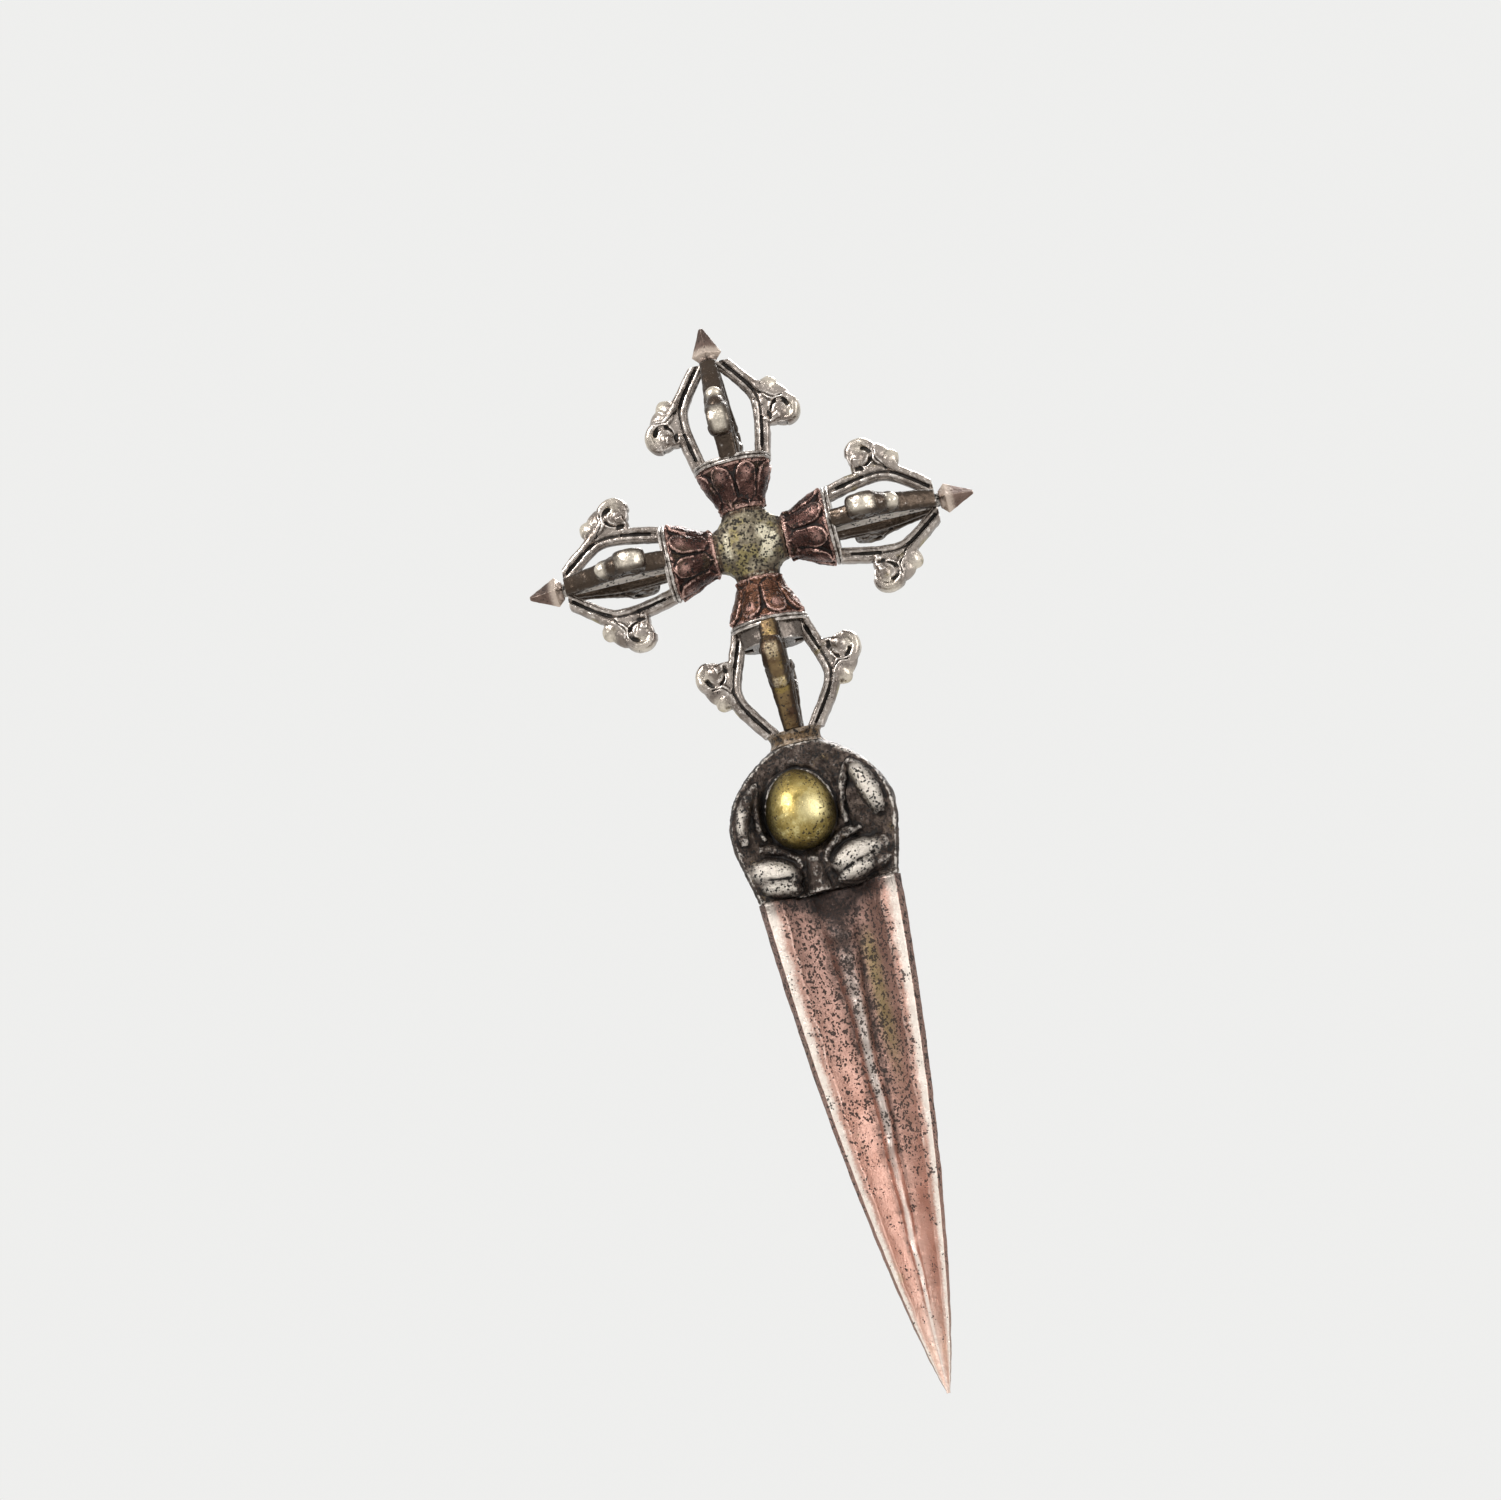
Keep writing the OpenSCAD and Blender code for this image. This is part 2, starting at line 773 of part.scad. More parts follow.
module left_prong_front() { color("silver") on_arm(left_turn) rotate([0, 0, -90]) free_prong(depth_knee_up); }
module left_prong_back() { color("silver") on_arm(left_turn) rotate([0, 0, 90]) free_prong(depth_knee_up); }
module left_prong_upper() { color("silver") on_arm(left_turn) free_prong(knee_up); }
module left_prong_lower() { color("silver") on_arm(left_turn) rotate([0, 0, 180]) free_prong(knee_up); }

blade();
head();
jewel_front();
jewel_right();
jewel_left();
neck_ring();
hub();
top_collar();
right_collar();
bottom_collar();
left_collar();
top_rim();
right_rim();
bottom_rim();
left_rim();
top_pin();
right_pin();
left_pin();
top_tip();
right_tip();
left_tip();
top_prong_front();
top_prong_back();
top_prong_right();
top_prong_left();
right_prong_front();
right_prong_back();
right_prong_upper();
right_prong_lower();
bottom_prong_front();
bottom_prong_back();
bottom_prong_right();
bottom_prong_left();
left_prong_front();
left_prong_back();
left_prong_upper();
left_prong_lower();
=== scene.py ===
import math

import bpy
import numpy as np
from mathutils import Matrix, Vector


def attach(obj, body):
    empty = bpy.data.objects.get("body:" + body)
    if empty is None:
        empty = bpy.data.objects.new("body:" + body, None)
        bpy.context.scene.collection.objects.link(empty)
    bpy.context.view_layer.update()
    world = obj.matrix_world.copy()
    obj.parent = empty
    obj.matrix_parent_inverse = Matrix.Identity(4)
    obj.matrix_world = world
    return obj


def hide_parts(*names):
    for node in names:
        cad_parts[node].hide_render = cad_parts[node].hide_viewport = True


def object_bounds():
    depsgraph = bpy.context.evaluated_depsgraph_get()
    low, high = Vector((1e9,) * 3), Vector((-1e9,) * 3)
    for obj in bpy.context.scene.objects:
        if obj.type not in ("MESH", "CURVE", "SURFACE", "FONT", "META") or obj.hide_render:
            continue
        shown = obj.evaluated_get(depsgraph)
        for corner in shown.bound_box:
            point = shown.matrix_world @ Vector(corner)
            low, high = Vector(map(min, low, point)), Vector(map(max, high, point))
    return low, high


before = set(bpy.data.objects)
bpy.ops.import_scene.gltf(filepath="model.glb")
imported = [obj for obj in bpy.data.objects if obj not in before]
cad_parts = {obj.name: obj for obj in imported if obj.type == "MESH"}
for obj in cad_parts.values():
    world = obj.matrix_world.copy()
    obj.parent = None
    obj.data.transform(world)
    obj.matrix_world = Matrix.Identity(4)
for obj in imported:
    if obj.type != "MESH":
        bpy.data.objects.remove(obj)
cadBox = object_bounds()
bpy.ops.object.select_all(action="DESELECT")
scene = bpy.context.scene
print("frame loaded")

# every piece is shaped in millimetres and made metres when it is settled in its place
millimetre = 0.001
hubZ = 115.1
boxLow, boxHigh = (np.array([float(value) for value in corner]) for corner in cadBox)  # limits of all pieces
armTurn = {"top": 0, "right": 90, "bottom": 180, "left": -90}
faceTurn = {"front": 0, "right": 120, "left": 240}


def pickOnly(piece):
    bpy.ops.object.select_all(action="DESELECT")
    piece.select_set(True)
    bpy.context.view_layer.objects.active = piece


def joinAll(parts):
    pickOnly(parts[0])
    for other in parts[1:]:
        other.select_set(True)
    bpy.ops.object.join()
    return parts[0]


def copyOf(model):
    pickOnly(model)
    bpy.ops.object.duplicate(linked=False)
    return bpy.context.object


def useModifier(piece, kind, **values):
    pickOnly(piece)
    modifier = piece.modifiers.new(kind.title(), kind)
    for key, value in values.items():
        setattr(modifier, key, value)
    bpy.ops.object.modifier_apply(modifier=modifier.name)


def fixTransform(piece):
    pickOnly(piece)
    bpy.ops.object.transform_apply(location=True, rotation=True, scale=True)


def editWhole(piece, *steps):  # each step is an edit mode operator and its settings
    pickOnly(piece)
    bpy.ops.object.mode_set(mode="EDIT")
    bpy.ops.mesh.select_all(action="SELECT")
    for operator, settings in steps:
        operator(**settings)
    bpy.ops.object.mode_set(mode="OBJECT")


def sealMesh(piece, gap=0.001):
    merge = (bpy.ops.mesh.remove_doubles, {"threshold": gap})
    editWhole(piece, merge, (bpy.ops.mesh.normals_make_consistent, {"inside": False}))


def smoothShade(piece, crease=None):  # an edge sharper than the crease, in degrees, stays sharp
    pickOnly(piece)
    if crease is None:
        bpy.ops.object.shade_smooth()
    else:
        bpy.ops.object.shade_smooth_by_angle(angle=math.radians(crease))


def readVertices(piece, what):
    values = np.empty(len(piece.data.vertices) * 3)
    piece.data.vertices.foreach_get(what, values)
    return values.reshape(-1, 3)


def readPoints(piece):
    return readVertices(piece, "co")


def readNormals(piece):
    return readVertices(piece, "normal")


def writePoints(piece, points):
    piece.data.vertices.foreach_set("co", points.ravel())
    piece.data.update()


def keepBetween(piece, axis, low, high):  # flattens what a lumpy skin pushed past a flat side
    points = readPoints(piece)
    points[:, axis] = np.clip(points[:, axis], low, high)
    writePoints(piece, points)


def turnBy(degrees, axis="Z"):
    return Matrix.Rotation(math.radians(degrees), 4, axis)


def turnTable(degrees):  # the same turn round the upright line, for a table of points
    return np.array(turnBy(degrees).to_3x3())


def onArm(arm, spin=0.0):
    return Matrix.Translation((0, 0, hubZ)) @ turnBy(armTurn[arm], "Y") @ turnBy(spin)


def meltTogether(piece, voxel, rounds):  # overlapping shapes become one cast skin
    useModifier(piece, "REMESH", mode="VOXEL", voxel_size=voxel)
    useModifier(piece, "SMOOTH", factor=0.5, iterations=rounds)


def castLumps(piece, *layers):  # low unevenness of hand cast metal, each layer a size and a height
    for size, height in layers:
        texture = bpy.data.textures.new("castLumps", "CLOUDS")
        texture.noise_scale = size
        texture.noise_depth = 2
        spread = {"texture": texture, "texture_coords": "LOCAL", "mid_level": 0.5}
        useModifier(piece, "DISPLACE", strength=height, **spread)


def cutBy(piece, tool, operation="DIFFERENCE"):
    useModifier(piece, "BOOLEAN", object=tool, operation=operation, solver="EXACT")
    bpy.data.objects.remove(tool)


def mixed(a, b, t):
    return a + (b - a) * t


def softStep(low, high, x):
    t = np.clip((np.asarray(x, float) - low) / (high - low), 0, 1)
    return t * t * (3 - 2 * t)


def bell(x, width):  # 1 at nothing, falling away on both sides
    return np.exp(-((x / width) ** 2))


def bezierAt(points, t):
    p = np.array(points, float)
    s = 1 - t
    return s**3 * p[0] + 3 * s * s * t * p[1] + 3 * s * t * t * p[2] + t**3 * p[3]


def smoothLine(points, count):  # a line through the points without corners
    knots = np.array(points, float)
    run = np.concatenate([[0], np.cumsum(np.linalg.norm(np.diff(knots, axis=0), axis=1))])
    padded = np.vstack([2 * knots[0] - knots[1], knots, 2 * knots[-1] - knots[-2]])
    line = []
    for at in np.linspace(0, run[-1], count):
        i = min(int(np.searchsorted(run, at, side="right")) - 1, len(knots) - 2)
        t = (at - run[i]) / (run[i + 1] - run[i])
        a, b, c, d = padded[i : i + 4]
        bend = (2 * a - 5 * b + 4 * c - d) * t * t + (3 * b - a - 3 * c + d) * t**3
        line.append(0.5 * (2 * b + (c - a) * t + bend))
    return line


def farFrom(points, line):  # distance of every point from a line
    line = np.array(line, float)
    nearest = np.full(len(points), 1e9)
    for start, end in zip(line[:-1], line[1:]):
        run = end - start
        share = np.clip(((points - start) @ run) / max(run @ run, 1e-9), 0, 1)
        nearest = np.minimum(nearest, np.linalg.norm(points - start - share[:, None] * run, axis=1))
    return nearest


def carveLine(piece, line, width, depth):  # a scored line on a rounded skin
    points = readPoints(piece)
    dip = depth * bell(farFrom(points, line), width)
    writePoints(piece, points - readNormals(piece) * dip[:, None])


def carveFlat(piece, line, width, depth):  # a scored line on the flat side that the line lies on
    points = readPoints(piece)
    normals = readNormals(piece)
    line = np.array(line, float)
    near = farFrom(points * (1, 1, 0), line * (1, 1, 0))
    facing = np.clip(normals[:, 2] * np.sign(line[0][2]), 0, 1)
    writePoints(piece, points - normals * (depth * facing * bell(near, width))[:, None])


# marks are values from 0 to 1 at each point, which the metals read to place their tones
def storeMark(piece, name, values):
    layer = piece.data.attributes.get(name) or piece.data.attributes.new(name, "FLOAT", "POINT")
    layer.data.foreach_set("value", np.asarray(values, np.float32))


def markWhole(piece, name, value):
    storeMark(piece, name, np.full(len(piece.data.vertices), value))


def fadeMark(piece, name, share):
    values = np.empty(len(piece.data.vertices))
    piece.data.attributes[name].data.foreach_get("value", values)
    storeMark(piece, name, values * share)


def markGrid(piece, order, name, table):
    values = np.empty(len(order))
    values[order] = table.ravel()
    storeMark(piece, name, values)


def markRelief(piece, rounds, reach):  # how far a point stands proud of its smoothed skin, or sinks below it
    points = readPoints(piece)
    normals = readNormals(piece)
    count = len(points)
    ties = np.empty(len(piece.data.edges) * 2, int)
    piece.data.edges.foreach_get("vertices", ties)
    ties = ties.reshape(-1, 2)
    neighbours = np.maximum(np.bincount(ties.ravel(), minlength=count), 1)
    soft = points.copy()
    for _ in range(rounds):
        total = np.empty_like(soft)
        for axis in range(3):
            total[:, axis] = np.bincount(ties[:, 0], soft[ties[:, 1], axis], count)
            total[:, axis] += np.bincount(ties[:, 1], soft[ties[:, 0], axis], count)
        soft = 0.5 * soft + 0.5 * total / neighbours[:, None]
    height = ((points - soft) * normals).sum(1) / reach
    storeMark(piece, "proud", np.clip(height, 0, 1))
    storeMark(piece, "sunk", np.clip(-height, 0, 1))


def settle(piece, name, node, material, place=None):
    if place is not None:
        piece.data.transform(place)
    piece.data.transform(Matrix.Scale(millimetre, 4))
    writePoints(piece, np.clip(readPoints(piece), boxLow, boxHigh))
    piece.data.materials.clear()
    piece.data.materials.append(material)
    piece.name = name
    piece.data.name = name
    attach(piece, "root")
    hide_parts(node)


def newGroup(name, inputs, outputs):  # a shader group that more than one metal uses
    group = bpy.data.node_groups.new(name, "ShaderNodeTree")
    for label, value in inputs.items():
        socket = group.interface.new_socket(label, in_out="INPUT", socket_type="NodeSocketFloat")
        socket.default_value = value
    for label in outputs:
        group.interface.new_socket(label, in_out="OUTPUT", socket_type="NodeSocketFloat")
    return group, group.nodes.new("NodeGroupInput"), group.nodes.new("NodeGroupOutput")


def feed(tree, value, socket):  # a socket takes a number, a colour or what another node puts out
    if isinstance(value, (int, float)):
        socket.default_value = value
    elif isinstance(value, tuple):
        socket.default_value = (*value, 1.0)
    else:
        tree.links.new(value, socket)


def mathNode(tree, operation, a, b, clamp=False):
    node = tree.nodes.new("ShaderNodeMath")
    node.operation = operation
    node.use_clamp = clamp
    feed(tree, a, node.inputs[0])
    feed(tree, b, node.inputs[1])
    return node.outputs[0]


def plus(tree, a, b):
    return mathNode(tree, "ADD", a, b)


def minus(tree, a, b):
    return mathNode(tree, "SUBTRACT", a, b)


def times(tree, a, b):
    return mathNode(tree, "MULTIPLY", a, b)


def swing(tree, value, middle, amount):  # a value about its middle, made stronger or weaker
    return times(tree, minus(tree, value, middle), amount)


def rangeNode(tree, value, low, high, toLow=0.0, toHigh=1.0):
    node = tree.nodes.new("ShaderNodeMapRange")
    node.interpolation_type = "SMOOTHSTEP"
    feed(tree, value, node.inputs["Value"])
    for label, setting in (("From Min", low), ("From Max", high), ("To Min", toLow), ("To Max", toHigh)):
        feed(tree, setting, node.inputs[label])
    return node.outputs["Result"]


def noiseNode(tree, where, scale, detail=4.0, rough=0.55, stretch=None):
    node = tree.nodes.new("ShaderNodeTexNoise")
    node.inputs["Detail"].default_value = detail
    node.inputs["Roughness"].default_value = rough
    if stretch is not None:
        mapping = tree.nodes.new("ShaderNodeMapping")
        mapping.inputs["Scale"].default_value = stretch
        tree.links.new(where, mapping.inputs["Vector"])
        where = mapping.outputs["Vector"]
    tree.links.new(where, node.inputs["Vector"])
    feed(tree, scale, node.inputs["Scale"])
    return node.outputs["Fac"]


def inMillimetres(tree):  # Object coordinates as millimetres
    where = tree.nodes.new("ShaderNodeTexCoord")
    node = tree.nodes.new("ShaderNodeVectorMath")
    node.operation = "SCALE"
    node.inputs["Scale"].default_value = 1 / millimetre
    tree.links.new(where.outputs["Object"], node.inputs[0])
    return node.outputs[0]


def markNode(tree, name):
    node = tree.nodes.new("ShaderNodeAttribute")
    node.attribute_name = name
    return node.outputs["Fac"]


# grime with painted shade in hollows, and rubbed metal with a painted highlight on high places
wearAndLight = {
    "fineScale": 4.5, "brokenShare": 0.7, "fineShare": 0.3,
    "grimeAndShadeMiddle": 0.5, "grimeAndShadeSwing": 1.5, "grimeAndShadeRange": (0.12, 0.5),
    "rubAndHighlightMiddle": 0.45, "rubAndHighlightSwing": -1.4, "rubAndHighlightRange": (0.1, 0.55),
}


def makeWearAndLightGroup():  # grime with painted shade that stays in hollows, and metal rubbed bright with a painted highlight on high places, both broken up
    inputs = {"Grime And Shade": 1.0, "Rub And Highlight": 1.0, "Break Scale": 1.2}
    group, given, out = newGroup("grimeShadeRubAndHighlight", inputs, ("Grime And Shade", "Rub And Highlight"))
    where = inMillimetres(group)
    broken = noiseNode(group, where, given.outputs["Break Scale"], 6.0, 0.65)
    fine = noiseNode(group, where, wearAndLight["fineScale"], 4.0, 0.6)
    uneven = plus(group, times(group, broken, wearAndLight["brokenShare"]), times(group, fine, wearAndLight["fineShare"]))
    sunk = times(group, markNode(group, "sunk"), given.outputs["Grime And Shade"])
    grimeAndShade = plus(group, sunk, swing(group, uneven, wearAndLight["grimeAndShadeMiddle"], wearAndLight["grimeAndShadeSwing"]))
    feed(group, rangeNode(group, grimeAndShade, *wearAndLight["grimeAndShadeRange"]), out.inputs["Grime And Shade"])
    proud = times(group, markNode(group, "proud"), given.outputs["Rub And Highlight"])
    rubAndHighlight = plus(group, proud, swing(group, uneven, wearAndLight["rubAndHighlightMiddle"], wearAndLight["rubAndHighlightSwing"]))
    feed(group, rangeNode(group, rubAndHighlight, *wearAndLight["rubAndHighlightRange"]), out.inputs["Rub And Highlight"])
    return group


pitting = {
    "clusterScale": 0.35, "clusterRange": (0.35, 0.7),
    "sizeScale": 1.7, "sizeRange": (0.35, 0.68), "sizes": (0.25, 1.5),
    "ragScale": 5.0, "rag": 0.34, "edge": 0.06,
}


def makePitGroup():  # small round pits, clustered
    group, given, out = newGroup("castPits", {"Scale": 2.6, "Amount": 0.5, "Size": 0.25}, ("Pits", "Height"))
    where = inMillimetres(group)
    cells = group.nodes.new("ShaderNodeTexVoronoi")
    cells.inputs["Randomness"].default_value = 1.0
    feed(group, where, cells.inputs["Vector"])
    feed(group, given.outputs["Scale"], cells.inputs["Scale"])
    cluster = noiseNode(group, where, pitting["clusterScale"], 3.0, 0.6)
    cluster = plus(group, cluster, minus(group, given.outputs["Amount"], 0.5))
    reach = times(group, given.outputs["Size"], rangeNode(group, cluster, *pitting["clusterRange"]))
    uneven = noiseNode(group, where, pitting["sizeScale"], 2.0)
    reach = times(group, reach, rangeNode(group, uneven, *pitting["sizeRange"], *pitting["sizes"]))
    rag = swing(group, noiseNode(group, where, pitting["ragScale"]), 0.5, pitting["rag"])
    pits = minus(group, reach, plus(group, cells.outputs["Distance"], rag))
    pits = rangeNode(group, pits, 0.0, pitting["edge"])
    feed(group, pits, out.inputs["Pits"])
    feed(group, times(group, pits, -1.0), out.inputs["Height"])
    return group


def makeCloudGroup():  # large soft patches of another tone
    inputs = {"Scale": 0.2, "Low": 0.45, "High": 0.6, "Shift": 0.0}
    group, given, out = newGroup("toneClouds", inputs, ("Mask",))
    move = group.nodes.new("ShaderNodeVectorMath")
    move.operation = "ADD"
    feed(group, inMillimetres(group), move.inputs[0])
    feed(group, given.outputs["Shift"], move.inputs[1])
    cloud = noiseNode(group, move.outputs[0], given.outputs["Scale"], 5.0, 0.6)
    feed(group, rangeNode(group, cloud, given.outputs["Low"], given.outputs["High"]), out.inputs["Mask"])
    return group


scratches = {
    "along": (6.0, 6.0, 0.5), "alongRange": (0.62, 0.7),
    "across": (0.6, 5.0, 5.0), "acrossRange": (0.64, 0.72),
    "depth": 0.25,
}


def makeSkinGroup():  # fine grain of a handled cast surface, and hair scratches
    group, given, out = newGroup("fineSkin", {"Grain Scale": 5.0, "Scratch Scale": 2.0}, ("Height",))
    where = inMillimetres(group)
    grain = noiseNode(group, where, given.outputs["Grain Scale"], 5.0, 0.65)
    lines = []
    for way in ("along", "across"):
        line = noiseNode(group, where, given.outputs["Scratch Scale"], 2.0, 0.5, scratches[way])
        lines.append(rangeNode(group, line, *scratches[way + "Range"]))
    scratched = times(group, mathNode(group, "MAXIMUM", *lines), scratches["depth"])
    feed(group, minus(group, grain, scratched), out.inputs["Height"])
    return group


wearAndLightGroup = makeWearAndLightGroup()
pitGroup = makePitGroup()
cloudGroup = makeCloudGroup()
skinGroup = makeSkinGroup()


def placeGroup(tree, group, *values):  # values in the order of the group's inputs
    node = tree.nodes.new("ShaderNodeGroup")
    node.node_tree = group
    for socket, value in zip(node.inputs, values):
        socket.default_value = value
    return node


def mixColour(tree, mask, under, over):
    node = tree.nodes.new("ShaderNodeMix")
    node.data_type = "RGBA"
    feed(tree, mask, node.inputs["Factor"])
    feed(tree, under, node.inputs[6])
    feed(tree, over, node.inputs[7])
    return node.outputs[2]


metalBuild = {
    "cloudRange": (0.42, 0.62), "traceRun": 0.1, "traceShift": 37.0, "pitSpread": (-0.12, 0.25),
    "zoneRag": 0.7, "roughRag": 0.25, "pitDepth": 1.6, "grimeAndShadeDepth": -0.35,
}


def metalFinish(name, look):
    material = bpy.data.materials.new(name)
    material.use_nodes = True
    tree = material.node_tree
    shader = tree.nodes["Principled BSDF"]
    # worn carries grime with painted shade and rubbed metal with a painted highlight
    worn = placeGroup(tree, wearAndLightGroup, look["grimeAndShade"], look["rubAndHighlight"], look["breakScale"])
    pits = placeGroup(tree, pitGroup, look["pitScale"], look["pitAmount"], look["pitSize"])
    if "pitMark" in look:
        few, many = (look["pitAmount"] + spread for spread in metalBuild["pitSpread"])
        amount = rangeNode(tree, markNode(tree, look["pitMark"]), 0.0, 1.0, few, many)
        feed(tree, amount, pits.inputs["Amount"])
    clouds = placeGroup(tree, cloudGroup, look["cloudScale"], *metalBuild["cloudRange"], look["shift"])
    traceTo = look["traceFrom"] + metalBuild["traceRun"]
    traceShift = look["shift"] + metalBuild["traceShift"]
    traces = placeGroup(tree, cloudGroup, look["traceScale"], look["traceFrom"], traceTo, traceShift)
    skin = placeGroup(tree, skinGroup, look["grainScale"], look["scratchScale"]).outputs["Height"]
    colour = mixColour(tree, clouds.outputs["Mask"], look["body"], look["second"])
    colour = mixColour(tree, traces.outputs["Mask"], colour, look["trace"])
    for mark, tone, low, high in look["zones"]:
        colour = mixColour(tree, rangeNode(tree, markNode(tree, mark), low, high), colour, tone)
    # rubbed places take the bright tone: worn metal and a painted highlight
    colour = mixColour(tree, worn.outputs["Rub And Highlight"], colour, look["bright"])
    for mark, tone, low, high in look["overZones"]:  # over the rubbed metal and its painted highlight, with a ragged rim
        ragged = plus(tree, markNode(tree, mark), swing(tree, skin, 0.5, metalBuild["zoneRag"]))
        colour = mixColour(tree, rangeNode(tree, ragged, low, high), colour, tone)
    # grime with painted shade, and pits, take the dark tone
    dirtAndShade = mathNode(tree, "MAXIMUM", worn.outputs["Grime And Shade"], pits.outputs["Pits"], clamp=True)
    dirtAndShade = times(tree, dirtAndShade, look["grimeAndShadeCover"])
    feed(tree, mixColour(tree, dirtAndShade, colour, look["dark"]), shader.inputs["Base Color"])
    rough = rangeNode(tree, dirtAndShade, 0.0, 1.0, look["roughness"], look["grimeAndShadeRoughness"])
    feed(tree, plus(tree, rough, swing(tree, skin, 0.5, metalBuild["roughRag"])), shader.inputs["Roughness"])
    feed(tree, rangeNode(tree, dirtAndShade, 0.0, 1.0, look["metal"], look["grimeAndShadeMetal"]), shader.inputs["Metallic"])
    bump = tree.nodes.new("ShaderNodeBump")
    bump.inputs["Strength"].default_value = look["bumpStrength"]
    bump.inputs["Distance"].default_value = look["bumpHeight"] * millimetre
    height = plus(tree, skin, times(tree, pits.outputs["Height"], metalBuild["pitDepth"]))
    height = plus(tree, height, times(tree, worn.outputs["Grime And Shade"], metalBuild["grimeAndShadeDepth"]))
    feed(tree, height, bump.inputs["Height"])
    feed(tree, bump.outputs["Normal"], shader.inputs["Normal"])
    return material


